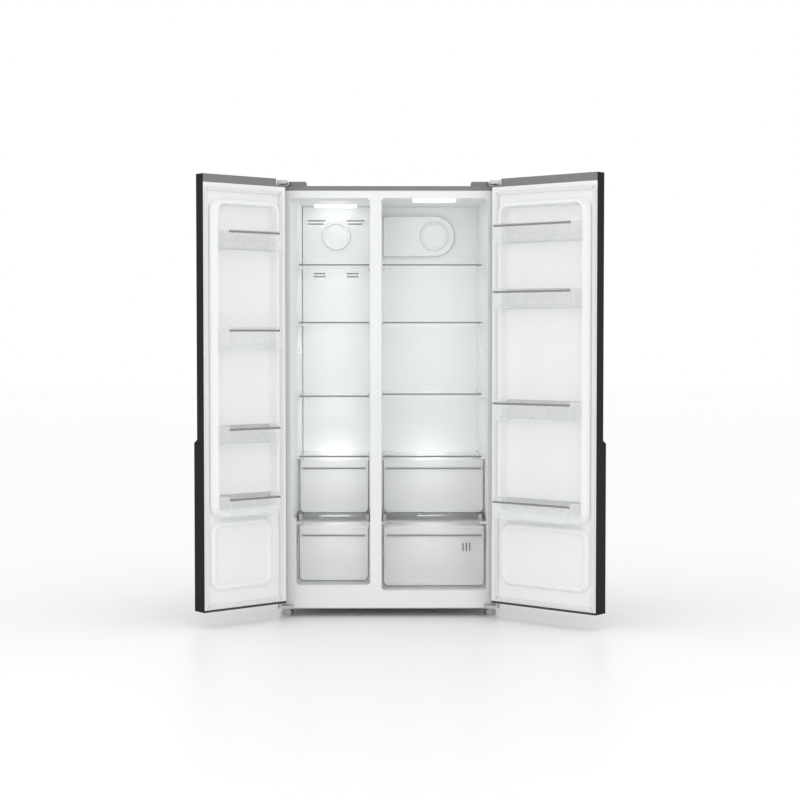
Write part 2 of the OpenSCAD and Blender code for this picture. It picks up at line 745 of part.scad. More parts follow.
cover_x = [arm_in + 3 - pin_x, arm_in + 74 - pin_x];
module hinge_cover() difference() {
    translate([0, 0, cab_h]) linear_extrude(18) round_rect(cover_x[0], cover_x[1], 3, 112, 11);
    translate([0, 0, cab_h - 1]) linear_extrude(17)
        round_rect(cover_x[0] + 2, cover_x[1] - 2, 5, 110, 9);
}

module hinge_covers() color(GREY) both_sides() hinge_cover();

module lower_hinge() {
    x0 = 7 - half_w;
    x1 = 64 - half_w;
    plate_z = door_z0 - 16;
    y0 = pin_y - 13;
    slab(x0, x1, y0, 0, plate_z, plate_z + 4);
    slab(x0, x1, y0, y0 + 3, plate_z - 8, plate_z);
    slab(x0, x1, -3, 0, base_top + 2, plate_z);
    translate([-pin_x, pin_y, plate_z + 4]) cylinder(r = pin_r + 5, h = door_z0 - plate_z - 4.5);
    translate([-pin_x, pin_y, plate_z]) cylinder(r = pin_r, h = door_z0 - plate_z + 30);
    for (x = [x0 + 14, x1 - 14]) translate([x, -3, base_top + 8]) rotate([90, 0, 0])
        cylinder(r = 4, h = 3);
}

module lower_hinges() color(STEEL) both_sides() lower_hinge();

module foot() {
    difference() {
        cylinder(r = foot_r, h = 20);
        for (a = [0 : 20 : 340]) rotate([0, 0, a])
            translate([foot_r - 1.8, -1.5, 2]) cube([4, 3, 16]);
    }
    translate([0, 0, 20]) cylinder(r = foot_r - 7, h = base_z - 20 - slide_gap);
    translate([0, 0, 20]) cylinder(r = axle_r + 1, h = base_top - 20 + 14);
}

module foot_left() color(STEEL) translate([-foot_x, foot_y, 0]) foot();
module foot_right() color(STEEL) translate([foot_x, foot_y, 0]) foot();

module roller(x) color(DARK) translate([x - roller_w / 2, roller_y, roller_r]) rotate([0, 90, 0])
    difference() {
        cylinder(r = roller_r, h = roller_w);
        translate([0, 0, -1]) cylinder(r = axle_r + bore_gap, h = roller_w + 2);
        for (z = [-1, roller_w - 3]) translate([0, 0, z]) difference() {
            cylinder(r = roller_r - 5, h = 4);
            translate([0, 0, -1]) cylinder(r = axle_r + 4, h = 6);
        }
    }

module roller_left() roller(-roller_x);
module roller_right() roller(roller_x);

// ---------- doors ----------
// A door is drawn closed in its own frame: X from its hinge edge, Y from its front face
// and Z from the floor. hang_left puts it on its pins and opens it.

module hang_left() {
    translate([-pin_x, pin_y, 0]) rotate([0, 0, -door_open]) translate([pin_x, -pin_y, 0])
        translate([-half_w, door_y, 0]) children();
}

module hang_right() mirror([1, 0, 0]) hang_left() children();

// Section of a door, inset by the same amount on its front and both edges
module door_section(w, inset, back) {
    translate([edge_r, inset]) square([w - 2 * edge_r, back - inset]);
    translate([inset, edge_r]) square([w - 2 * inset, back - edge_r]);
    for (x = [edge_r, w - edge_r]) translate([x, edge_r]) circle(edge_r - inset);
}

// Space that the hinge's arm needs in the door's top
module hinge_recess() translate([0, 0, recess_z]) linear_extrude(top_cap_h) {
    translate([pin_in, pin_v]) circle(recess_r);
    translate([-1, pin_v - recess_r]) square([pin_in + 1, door_t - pin_v + recess_r + 1]);
    translate([-1, pin_v]) square([pin_in + recess_r + 1, door_t - pin_v + 1]);
}

// The grip's outer form, and the hollow in it
module grip_form(w) translate([0, 0, grip_z - grip_slope - lining])
    linear_extrude(cap_z - grip_z + grip_slope + lining) {
        translate([w - grip_w - lining, 0]) square([grip_w + lining, grip_d + lining]);
        translate([w - grip_w - grip_under - lining, grip_lip - lining])
            square([grip_under + lining, grip_d - grip_lip + 2 * lining]);
    }

module grip_hollow(w) {
    translate([0, 0, grip_z]) linear_extrude(door_top - grip_z + 1) {
        translate([w - grip_w, -1]) square([grip_w + 1, grip_d + 1]);
        translate([w - grip_w - grip_under, grip_lip]) square([grip_under + 1, grip_d - grip_lip]);
    }
    translate([w - grip_w, 0, 0]) rotate([90, 0, 90]) linear_extrude(grip_w + 1)
        polygon([[-1, grip_z - grip_slope], [grip_d, grip_z], [grip_d, grip_z + 1], [-1, grip_z + 1]]);
}

module door_panel(w) color(GRAPHITE) difference() {
    translate([0, 0, door_z0]) linear_extrude(door_top - door_z0) difference() {
        door_section(w, 0, door_t);
        door_section(w, skin_t, door_t + 1);
    }
    grip_form(w);
    grip_hollow(w);
    hinge_recess();
}

module door_grip(w) color(GRAPHITE) intersection() {
    difference() {
        grip_form(w);
        grip_hollow(w);
    }
    translate([0, 0, door_z0]) linear_extrude(door_top) door_section(w, 0, door_t);
}

module pin_socket(r) translate([pin_in, pin_v, 0]) {
    translate([0, 0, cap_z - socket_l]) cylinder(r = r, h = socket_l);
    translate([0, 0, cap_low]) cylinder(r = r, h = socket_l);
}

module door_caps(w) color(GREY) difference() {
    union() {
        translate([0, 0, cap_z]) linear_extrude(top_cap_h) door_section(w, skin_t, door_t);
        translate([0, 0, door_z0]) linear_extrude(bottom_cap_h) door_section(w, skin_t, door_t);
        pin_socket(socket_r);
    }
    hinge_recess();
    grip_hollow(w);
    translate([pin_in, pin_v, cap_z - socket_l + 6]) cylinder(r = pin_r + bore_gap, h = socket_l + 20);
    translate([pin_in, pin_v, door_z0 - 1]) cylinder(r = pin_r + bore_gap, h = socket_l);
}

// Raised form of the liner, from the inner face; base is its distance from the hinge edge and
// t moves its surface inwards
module rim_plan(w, base, v, t) translate([0, door_t])
    polygon([[base + t, -liner_t], [base + t, 0], [base + rim_slope + t, v - t],
        [w - rim_free - rim_slope - t, v - t], [w - rim_free - t, 0], [w - rim_free - t, -liner_t]]);

module pocket_plan(w, base, v, t) translate([0, door_t])
    polygon([[base + rim_slope + rim_crest - t, v + 1],
        [base + rim_slope + rim_crest + pocket_slope - t, pocket_v - t],
        [w - rim_free - rim_slope - rim_crest - pocket_slope + t, pocket_v - t],
        [w - rim_free - rim_slope - rim_crest + t, v + 1]]);

// One raised rim round its pocket, from z0 to z1; its top surface lies down below z1
module rim(w, base, v, z0, z1, down, t) difference() {
    translate([0, 0, z0 + t]) linear_extrude(z1 - z0 - t - down) rim_plan(w, base, v, t);
    translate([0, 0, z0 + rim_crest - t])
        linear_extrude(z1 - z0 - 2 * rim_crest + 2 * t) pocket_plan(w, base, v, t);
}

// The high rim round the bins and the shallow one under it, which meet at the height start.
// The shallow one stands low_in further in at the hinge side, to pass a narrower mouth.
module rim_form(w, start, low_in, t) {
    rim(w, rim_base, rim_v, start, rim_top, t, t);
    rim(w, rim_base + low_in, low_rim_v, rim_low_z, start, -t, t);
}

module door_liner(w, start, low_in) color(WHITE) difference() {
    union() {
        slab(skin_t, w - skin_t, door_t - liner_t, door_t, cap_low, cap_z);
        rim_form(w, start, low_in, 0);
    }
    rim_form(w, start, low_in, liner_t);
}

module door_foam(w, start, low_in) color(FOAM) difference() {
    union() {
        translate([0, 0, cap_low]) linear_extrude(cap_z - cap_low)
            door_section(w, skin_t, door_t - liner_t);
        rim_form(w, start, low_in, liner_t);
    }
    grip_form(w);
    pin_socket(socket_r);
    for (z = [cap_low, cap_z - socket_l])
        slab(0, pin_in, pin_v - socket_r, pin_v + socket_r, z, z + socket_l);
}

module door_gasket(w) color(WHITE) {
    x1 = w - 5;
    z1 = frame_top - 10;
    translate([0, door_t + gasket_v, 0]) rotate([90, 0, 0]) linear_extrude(gasket_v) difference() {
        round_rect(gasket_in, x1, gasket_low, z1, 6);
        round_rect(gasket_in + gasket_w, x1 - gasket_w, gasket_low + gasket_w, z1 - gasket_w, 4);
    }
}

// Bin on the door: front gives where its front begins, and how far it ends from the free edge
function rail_z(level) = rack_z + level * (rim_top - rack_z);

module bin_plan(w, front, t) translate([0, door_t]) {
    x_in = rim_base + rim_slope + rim_crest + pocket_slope + bin_back;
    x_rim = rim_base + rim_slope + 4;
    far = w - rim_free - rim_slope;
    polygon([[x_in + t, pocket_v + t], [x_in + t, rim_v + 1 + t], [x_rim + t, rim_v + 1 + t],
        [x_rim + t, rim_v + 15], [front[0] + t, bin_v - t], [w - front[1] - t, bin_v - t],
        [far - 2 - t, rim_v + 15], [far - 2 - t, rim_v + 1 + t],
        [far - rim_crest - pocket_slope - bin_back - t, rim_v + 1 + t],
        [far - rim_crest - pocket_slope - bin_back - t, pocket_v + t]]);
}

module bin(w, front, level) {
    z = rail_z(level);
    color(CLEAR) difference() {
        translate([0, 0, z - bin_h]) linear_extrude(bin_h + ear_h) bin_plan(w, front, 0);
        translate([0, 0, z - bin_h + bin_t]) linear_extrude(bin_h + ear_h) bin_plan(w, front, bin_t);
        // The front is lower than the ends, and carries the rail
        slab(front[0] + 4, w - front[1] - 4, door_t + bin_v - 9, door_t + bin_v + 1,
            z - rail_h / 2, z + ear_h + 1);
    }
    color(GREY) slab(front[0] + 4, w - front[1] - 4, door_t + bin_v - 7, door_t + bin_v,
        z - rail_h / 2, z + rail_h / 2);
}

outer_shell();
back_plate();
base_plate();
front_frame();
cabinet_foam();
freezer_liner();
fridge_liner();
freezer_back_panel();
fridge_air_duct();
vent_rings();
lamp_lenses();
sensor_covers();
evaporator();
compressor();
condenser();
drip_tray();
rear_cover();
mains_inlet();
upper_hinges();
hinge_covers();
lower_hinges();
fan_motors();
evaporator_fan();
condenser_fan();
foot_left();
foot_right();
roller_left();
roller_right();
for (i = [0 : 2]) {
    freezer_shelf(i);
    fridge_shelf(i);
}
freezer_drawer_shelves();
crisper_shelves();
freezer_drawer_upper();
freezer_drawer_lower();
crisper_upper();
crisper_lower();
hang_left() door_panel(left_w);  // left_door_panel
hang_left() door_foam(left_w, left_rim_z, fz_flare);  // left_door_foam
hang_left() door_liner(left_w, left_rim_z, fz_flare);  // left_door_liner
hang_left() door_caps(left_w);  // left_door_caps
hang_left() door_grip(left_w);  // left_door_grip
hang_left() door_gasket(left_w);  // left_door_gasket
hang_right() door_panel(right_w);  // right_door_panel
hang_right() door_foam(right_w, right_rim_z, 0);  // right_door_foam
hang_right() door_liner(right_w, right_rim_z, 0);  // right_door_liner
hang_right() door_caps(right_w);  // right_door_caps
hang_right() door_grip(right_w);  // right_door_grip
hang_right() door_gasket(right_w);  // right_door_gasket
for (i = [0 : 3]) {
    hang_left() bin(left_w, left_front, left_levels[i]);
    hang_right() bin(right_w, right_front, right_levels[i]);
}
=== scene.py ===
# %% [markdown]
# A side by side refrigerator, with both doors open.
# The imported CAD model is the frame: its sizes and places are right, so every piece below is
# measured from it. Lengths are in metres. X goes to the right, Y to the back and Z up, and the
# origin is on the floor under the middle of the cabinet's front face.

# %% Load the frame
import json
import math
import bpy
from mathutils import Matrix, Vector

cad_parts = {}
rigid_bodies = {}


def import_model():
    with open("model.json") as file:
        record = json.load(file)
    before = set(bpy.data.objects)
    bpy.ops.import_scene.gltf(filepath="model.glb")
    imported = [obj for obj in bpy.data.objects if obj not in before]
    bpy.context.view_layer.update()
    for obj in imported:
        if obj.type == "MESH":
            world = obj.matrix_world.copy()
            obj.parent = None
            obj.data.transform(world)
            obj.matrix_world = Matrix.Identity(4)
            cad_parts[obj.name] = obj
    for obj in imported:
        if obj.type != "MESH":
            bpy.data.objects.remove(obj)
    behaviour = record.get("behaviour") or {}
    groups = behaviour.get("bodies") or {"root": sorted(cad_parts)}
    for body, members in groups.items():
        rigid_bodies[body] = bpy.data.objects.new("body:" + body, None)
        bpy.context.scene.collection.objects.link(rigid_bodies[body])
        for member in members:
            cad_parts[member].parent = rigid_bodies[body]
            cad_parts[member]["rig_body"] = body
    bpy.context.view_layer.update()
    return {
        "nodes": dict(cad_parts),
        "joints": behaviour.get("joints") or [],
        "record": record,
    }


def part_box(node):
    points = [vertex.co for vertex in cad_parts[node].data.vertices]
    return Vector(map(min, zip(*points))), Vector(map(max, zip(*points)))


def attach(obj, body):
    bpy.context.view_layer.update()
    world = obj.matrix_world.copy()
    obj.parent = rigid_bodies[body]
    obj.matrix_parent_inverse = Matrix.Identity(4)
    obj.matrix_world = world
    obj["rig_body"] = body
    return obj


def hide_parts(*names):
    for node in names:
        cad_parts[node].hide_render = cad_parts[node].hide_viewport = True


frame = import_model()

MM = 0.001
nodes = frame["nodes"]

# %% [markdown]
# The refrigerator is seen from straight in front, a little above its middle, through a long
# lens. A long lens from far away keeps the upright edges nearly parallel, as in a catalogue.

# %% Camera
bpy.ops.object.camera_add(location=(-0.0026, -6.947, 1.1505),
                          rotation=(math.radians(90 - 2.13), 0, math.radians(-0.4)))
camera = bpy.context.object
camera.data.lens = 76.37
bpy.context.scene.camera = camera

# %% [markdown]
# White appliances are lit by large soft boxes, so that their edges fade gently. One broad box
# stands over the camera, one on each side rakes the open doors, and a bright surround fills
# the rest. The floor is a plain pale plane. The view transform is the plain one, which keeps
# white paint white.

# %% Light and floor
bpy.context.scene.view_settings.view_transform = "Standard"
surround = bpy.data.worlds.new("surround")
surround.use_nodes = True
surround.node_tree.nodes["Background"].inputs["Color"].default_value = (1, 1, 1, 1)
surround.node_tree.nodes["Background"].inputs["Strength"].default_value = 1.0
bpy.context.scene.world = surround


def soft_box(name, place, target, size, power):
    """A square area light at place that faces target."""
    bpy.ops.object.light_add(type="AREA", location=place)
    light = bpy.context.object
    light.name = name
    light.data.size = size
    light.data.energy = power
    light.rotation_euler = (Vector(target) - Vector(place)).to_track_quat("-Z", "Y").to_euler()


soft_box("front_box", (0.3, -5.2, 1.6), (0, 0, 0.9), 1.6, 12)
soft_box("left_box", (-3.2, -2.4, 1.8), (0.3, 0, 0.9), 1.6, 6)
soft_box("right_box", (3.2, -2.2, 1.5), (-0.3, 0, 0.9), 1.6, 3)

# The lamps' light reaches every shelf, so each space has a small light under its top
SPACE_LIGHT = 0.12
SHELF_POWER = 0.2
DRAWER_POWER = 0.36
for space in frame["record"]["physics"]["openings"]:
    if "_space_" in space["name"] or "drawer" in space["name"] or "crisper" in space["name"]:
        low, high = (Vector(corner) for corner in space["box_m"])
        middle = (low + high) / 2
        on_shelf = "_space_" in space["name"]
        soft_box(space["name"] + "_light",
                 (middle.x, low.y + 0.06 if on_shelf else middle.y, high.z - 0.01),
                 (middle.x, high.y, low.z), SPACE_LIGHT, SHELF_POWER if on_shelf else DRAWER_POWER)

bpy.ops.mesh.primitive_plane_add(size=60)
floor = bpy.context.object
floor.name = "floor"

# %% [markdown]
# Every finish is a small tree of shader nodes. `Value` wraps one socket, so that patterns can
# be written as sums and products. `Finish.node` makes any other node. What changes over a
# surface only feeds its colour, roughness and bump, and everything else is set on the shader.


# %% Shader helpers
class Value:
    """A shader socket that arithmetic works on."""

    def __init__(self, finish, socket):
        self.finish = finish
        self.socket = socket

    def math(self, operation, first, second):
        return self.finish.node("ShaderNodeMath", {"operation": operation}, {0: first, 1: second})

    def __add__(self, other):
        return self.math("ADD", self, other)

    def __mul__(self, other):
        return self.math("MULTIPLY", self, other)

    __radd__ = __add__
    __rmul__ = __mul__


class Finish:
    """A material whose patterns are laid out in the object's own coordinates."""

    def __init__(self, name, **surface):
        self.material = bpy.data.materials.new(name)
        self.material.use_nodes = True
        self.tree = self.material.node_tree
        self.shader = self.tree.nodes["Principled BSDF"]
        for socket, value in surface.items():
            self.shader.inputs[socket.replace("_", " ")].default_value = value
        self.place = self.node("ShaderNodeTexCoord", output="Object")

    def node(self, kind, settings=(), sockets=(), output=0):
        """Makes a node: first its settings or a ramp's stops, then its sockets' values or links."""
        made = self.tree.nodes.new(kind)
        for name, value in dict(settings).items():
            if name == "stops":
                for k, (at, colour) in enumerate(value):
                    stop = made.color_ramp.elements[k] if k < 2 else made.color_ramp.elements.new(at)
                    stop.position = at
                    stop.color = colour
            else:
                setattr(made, name, value)
        for name, value in dict(sockets).items():
            if isinstance(value, Value):
                self.tree.links.new(value.socket, made.inputs[name])
            else:
                made.inputs[name].default_value = value
        return Value(self, made.outputs[output])

    def noise(self, scale, detail=3.0, stretch=(1, 1, 1)):
        """Soft random pattern from 0 to 1, scale features to a metre."""
        where = self.node("ShaderNodeMapping", sockets={"Vector": self.place, "Scale": stretch})
        return self.node("ShaderNodeTexNoise", sockets={"Vector": where, "Scale": scale,
                                                        "Detail": detail})

    def between(self, factor, low, high):
        """Colour that goes from low to high with factor."""
        return self.node("ShaderNodeMix", {"data_type": "RGBA"}, {0: factor, 6: low, 7: high}, 2)

    def feed(self, socket, value):
        self.tree.links.new(value.socket, self.shader.inputs[socket])

    def bump(self, height, distance, strength=1.0):
        """Relief of height, where 1 stands distance metres proud."""
        self.feed("Normal", self.node("ShaderNodeBump", sockets={
            "Height": height, "Distance": distance, "Strength": strength}))


def grey(level, tint=(1, 1, 1)):
    """A colour close to neutral grey."""
    return (level * tint[0], level * tint[1], level * tint[2], 1)


# %% [markdown]
# Moulded plastic has a fine leathery grain from the etched mould, and its gloss varies over a
# hand's width because the melt cools unevenly. Both are noise: a fine one as bump and a broad
# one in the roughness and, very faintly, in the colour.


# %% Moulded plastics
COOL = (0.985, 0.995, 1.0)


def moulded(name, level, roughness, grain=900, relief=0.00003, tint=COOL, **surface):
    finish = Finish(name, **surface)
    broad = finish.noise(7, 2)
    fine = finish.noise(grain, 2)
    finish.feed("Base Color", finish.between(broad, grey(level * 0.97, tint), grey(level, tint)))
    finish.feed("Roughness", roughness - 0.05 + broad * 0.1 + fine * 0.05)
    finish.bump(fine, relief, 0.5)
    return finish.material


white_plastic = moulded("white_plastic", 0.89, 0.34)
liner_plastic = moulded("liner_plastic", 0.91, 0.42, grain=600, relief=0.00005)
grey_plastic = moulded("grey_plastic", 0.21, 0.45, relief=0.00006)
dark_plastic = moulded("dark_plastic", 0.035, 0.5, relief=0.00006)
white_rubber = moulded("white_rubber", 0.80, 0.62, grain=300, relief=0.00004)
shelf_plastic = moulded("shelf_plastic", 0.5, 0.62, relief=0.00004)
rail_plastic = moulded("rail_plastic", 0.24, 0.3, relief=0.00003)

# %% [markdown]
# Painted sheet steel shows orange peel, the shallow waves that sprayed paint dries into. The
# cabinet's grey sides have a textured powder coat, which is coarser. The doors' dark paint
# holds metal flakes that catch the light in points, under a clear coat.


# %% Painted steel
def painted(name, level, roughness, peel, relief, tint=COOL, **surface):
    finish = Finish(name, **surface)
    waves = finish.noise(peel, 2)
    broad = finish.noise(3, 2)
    finish.feed("Base Color", finish.between(broad, grey(level * 0.94, tint), grey(level, tint)))
    finish.feed("Roughness", roughness - 0.04 + waves * 0.08)
    finish.bump(waves, relief, 0.6)
    return finish


white_paint = painted("white_paint", 0.88, 0.3, 260, 0.00004, Coat_Weight=0.25).material
grey_paint = painted("grey_paint", 0.225, 0.42, 1100, 0.00008, Metallic=0.15).material

graphite = painted("graphite", 0.008, 0.3, 180, 0.00002, Specular_IOR_Level=0.09)
flakes = graphite.node("ShaderNodeTexVoronoi", sockets={"Vector": graphite.place, "Scale": 1400},
                       output="Distance")
sparkle = graphite.node("ShaderNodeValToRGB", {"stops": [(0.0, grey(0.02)), (0.16, grey(0.007))]},
                        {"Fac": flakes})
graphite.feed("Base Color", sparkle)
graphite_paint = graphite.material

# %% [markdown]
# Bare metals differ by how they were worked. Drawn and rolled parts carry fine lines along one
# direction, so their noise is stretched. Copper tube has tarnished patches. The zinc coat on
# the inner sheets grows in flat crystals, which a cell pattern with one grey per cell gives.


# %% Metals
def metal(name, colour, roughness, stretch=(1, 1, 12), tarnish=0.25):
    finish = Finish(name, Metallic=1.0)
    lines = finish.noise(260, 2, stretch)
    patches = finish.noise(14, 4)
    dull = tuple(part * (1 - tarnish) for part in colour[:3]) + (1,)
    finish.feed("Base Color", finish.between(patches, dull, colour))
    finish.feed("Roughness", roughness - 0.08 + lines * 0.1 + patches * 0.12)
    finish.bump(lines, 0.00003, 0.5)
    return finish.material


steel = metal("steel", (0.54, 0.55, 0.57, 1), 0.3)
aluminium = metal("aluminium", (0.78, 0.79, 0.80, 1), 0.36, (12, 1, 1))
copper = metal("copper", (0.72, 0.38, 0.23, 1), 0.34, (1, 8, 8), 0.45)
black_steel = painted("black_steel", 0.02, 0.38, 320, 0.00006).material

zinc = Finish("zinc_sheet", Metallic=0.85)
crystals = zinc.node("ShaderNodeTexVoronoi", sockets={"Vector": zinc.place, "Scale": 70},
                     output="Color")
level = zinc.node("ShaderNodeSeparateColor", sockets={"Color": crystals})
zinc.feed("Base Color", zinc.between(level, grey(0.47), grey(0.55)))
zinc.feed("Roughness", 0.34 + level * 0.18)
zinc_sheet = zinc.material

# %% [markdown]
# The shelves are tempered glass with a faint green cast, and the bins and drawers are clear
# styrene. A thin clear wall seen in a white cabinet is mostly a slight grey veil with bright
# edges, so both are glossy surfaces with a low alpha, which also survives an export.


# %% Clear materials
def clear(name, colour, alpha, roughness, wave=30):
    finish = Finish(name, IOR=1.5, Specular_IOR_Level=0.5)
    flow = finish.noise(wave, 2)
    finish.feed("Base Color", finish.between(flow, colour, tuple(c * 0.985 for c in colour[:3]) + (1,)))
    finish.feed("Roughness", roughness + flow * 0.04)
    finish.feed("Alpha", alpha - 0.01 + flow * 0.02)
    finish.bump(flow, 0.00004, 0.4)
    return finish.material


shelf_glass = clear("shelf_glass", (0.80, 0.87, 0.86, 1), 0.22, 0.04)
clear_bin = clear("clear_bin", (0.94, 0.955, 0.97, 1), 0.26, 0.12)
clear_drawer = clear("clear_drawer", (0.95, 0.96, 0.97, 1), 0.34, 0.16)
# Painted shade: a dark, nearly opaque finish for the strip round the drawer fronts
painted_edge_shade = clear("painted_edge_shade", (0.15, 0.16, 0.18, 1), 0.85, 0.2)

lens = Finish("lamp_lens", Emission_Strength=1.6, Roughness=0.5)
glow = lens.noise(90, 1)
lens.feed("Base Color", lens.between(glow, grey(0.9), grey(0.95)))
lens.feed("Emission Color", lens.between(glow, grey(0.92, (1, 1, 1.0)), grey(1.0)))
lamp_lens = lens.material

foam_core = Finish("foam_core", Roughness=0.9)
cells = foam_core.noise(700, 4)
foam_core.feed("Base Color", foam_core.between(cells, (0.72, 0.62, 0.36, 1), (0.85, 0.77, 0.52, 1)))
foam_core.bump(cells, 0.0004)
foam_core = foam_core.material

ground = Finish("pale_floor", Roughness=0.4)
ground.feed("Base Color", ground.between(ground.noise(0.6, 2), grey(0.97), grey(0.99)))
floor.data.materials.append(ground.material)

print(len(bpy.data.materials), "materials")

# %% [markdown]
# A piece is modelled the way it is done by hand: a primitive, then edit mode. Selecting is done
# in code, by where a vertex, edge or face is. `pick` empties the selection, selects what passes
# a test and enters edit mode. `finished` ends a piece: material and body.

# %% Modelling helpers
SELECT = {"VERT": (True, False, False), "EDGE": (False, True, False), "FACE": (False, False, True)}


def only(piece):
    """Makes piece the one selected and active object, in object mode."""
    if bpy.context.object and bpy.context.object.mode != "OBJECT":
        bpy.ops.object.mode_set(mode="OBJECT")
    bpy.ops.object.select_all(action="DESELECT")
    piece.select_set(True)
    bpy.context.view_layer.objects.active = piece


def pick(piece, kind, test):
    """Enters edit mode with the vertices, edges or faces selected that pass test(middle, way).
    way is an edge's direction or a face's normal. Returns how many passed."""
    only(piece)
    mesh = piece.data
    for group in (mesh.vertices, mesh.edges, mesh.polygons):
        group.foreach_set("select", [False] * len(group))
    count = 0
    if kind == "VERT":
        for vertex in mesh.vertices:
            vertex.select = test(vertex.co, None)
            count += vertex.select
    elif kind == "EDGE":
        for edge in mesh.edges:
            a, b = (mesh.vertices[k].co for k in edge.vertices)
            edge.select = test((a + b) / 2, (b - a).normalized())
            count += edge.select
    else:
        for face in mesh.polygons:
            face.select = test(face.center, face.normal)
            count += face.select
    bpy.context.tool_settings.mesh_select_mode = SELECT[kind]
    bpy.ops.object.mode_set(mode="EDIT")
    return count


def block(name, low, high):
    """A box between two corners, with its place in its mesh."""
    if bpy.context.object and bpy.context.object.mode != "OBJECT":
        bpy.ops.object.mode_set(mode="OBJECT")
    bpy.ops.object.select_all(action="DESELECT")
    low, high = Vector(low), Vector(high)
    bpy.ops.mesh.primitive_cube_add(size=1, location=(low + high) / 2, scale=high - low)
    bpy.ops.object.transform_apply(location=True, rotation=True, scale=True)
    piece = bpy.context.object
    piece.name = name
    piece.data.name = name
    return piece


def joined(parts, name):
    """Makes one piece of several."""
    only(parts[0])
    for part in parts:
        part.select_set(True)
    bpy.ops.object.join()
    parts[0].name = name
    return parts[0]


def modifier(piece, kind, **settings):
    """Adds a modifier to piece and applies it."""
    only(piece)
    made = piece.modifiers.new(kind.lower(), kind)
    for name, value in settings.items():
        setattr(made, name, value)
    bpy.ops.object.modifier_apply(modifier=made.name)


def ease(piece, width, segments=2, angle=30, smooth=40):
    """Rounds every edge sharper than angle by width, and shades the piece smoothly."""
    modifier(piece, "BEVEL", width=width, segments=segments, limit_method="ANGLE",
             angle_limit=math.radians(angle), harden_normals=False, miter_outer="MITER_ARC")
    only(piece)
    bpy.ops.object.shade_smooth_by_angle(angle=math.radians(smooth))
    modifier(piece, "WEIGHTED_NORMAL", keep_sharp=True)


def finished(piece, material, body, slot, *replaced):
    """Gives a piece its material and its body, and hides the CAD nodes it stands for. slot is not used.
    """
    only(piece)
    piece.data.materials.clear()
    piece.data.materials.append(material)
    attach(piece, body)
    if replaced:
        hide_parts(*replaced)
    return piece


# %% [markdown]
# Many CAD pieces already have the right shape and only lack the small radius that every real
# edge has. `eased_copy` copies such a node, merges its loose triangles, dissolves its flat
# faces into whole ones and then rounds its edges. The node itself stays as it is.


# %% Rounded copies of CAD pieces
def merged_copy(node, name):
    """A copy of a CAD node as one clean mesh."""
    piece = nodes[node].copy()
    piece.data = nodes[node].data.copy()
    piece.name = name
    piece.data.name = name
    bpy.context.scene.collection.objects.link(piece)
    piece.parent = None
    piece.hide_viewport = False
    piece.hide_render = False
    for key in list(piece.keys()):
        if key.startswith("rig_"):
            del piece[key]
    if piece.data.has_custom_normals:
        only(piece)
        bpy.ops.mesh.customdata_custom_splitnormals_clear()
    pick(piece, "VERT", lambda place, way: True)
    bpy.ops.mesh.remove_doubles(threshold=0.00001)
    bpy.ops.mesh.dissolve_limited(angle_limit=math.radians(0.5))
    bpy.ops.object.mode_set(mode="OBJECT")
    return piece


def eased_copy(node, name, width, material, slot, segments=2, angle=30):
    """A rounded copy that replaces its node, on the same body."""
    piece = merged_copy(node, name)
    ease(piece, width, segments, angle)
    return finished(piece, material, nodes[node]["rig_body"], slot, node)

# %% [markdown]
# The cabinet is a grey steel wrap, folded in at the front round a white frame. Its visible
# edges are bends in 1 mm sheet, so their radii are under a millimetre. The hinge plates, feet,
# covers and rollers are stamped, turned or moulded, with radii to match.

# %% Cabinet, hinges and feet
eased_copy("front_frame", "front_frame_painted", 0.8 * MM, white_paint, "white_plastic")
eased_copy("outer_shell", "steel_wrap", 0.4 * MM, grey_paint, "grey", 1)
eased_copy("hinge_covers", "hinge_covers_moulded", 3 * MM, grey_plastic, "grey_plastic", 3)
eased_copy("upper_hinges", "upper_hinges_stamped", 0.6 * MM, steel, "steel")
eased_copy("lower_hinges", "lower_hinges_stamped", 0.6 * MM, steel, "steel")
for side in ("left", "right"):
    eased_copy("foot_" + side, "foot_" + side + "_turned", 0.7 * MM, steel, "steel")
    eased_copy("roller_" + side, "roller_" + side + "_moulded", 1.2 * MM, dark_plastic, "dark_plastic")
eased_copy("rear_cover", "rear_cover_pressed", 0.4 * MM, zinc_sheet, "grey", 1)
eased_copy("mains_inlet", "mains_inlet_moulded", 0.8 * MM, dark_plastic, "dark_plastic")
eased_copy("sensor_covers", "sensor_covers_moulded", 1.0 * MM, white_plastic, "white_plastic")
eased_copy("freezer_back_panel", "freezer_back_panel_moulded", 0.6 * MM, white_plastic, "white_plastic")
eased_copy("fridge_air_duct", "fridge_air_duct_moulded", 6 * MM, white_plastic, "white_plastic", 4)
eased_copy("drip_tray", "drip_tray_moulded", 0.8 * MM, dark_plastic, "dark_plastic")
eased_copy("lamp_lenses", "lamp_lenses_moulded", 2.5 * MM, lamp_lens, "lamp", 3)

# %% [markdown]
# The liners are vacuum-formed from one white sheet. A formed sheet can't have sharp inside
# corners, so a copy of each CAD liner gets its inner corners rounded: the edges of its cavity
# are picked by place, and bevelled with the radius of the cabinet's mouth.

# %% Cabinet liners
MOUTH_RADIUS = 17 * MM


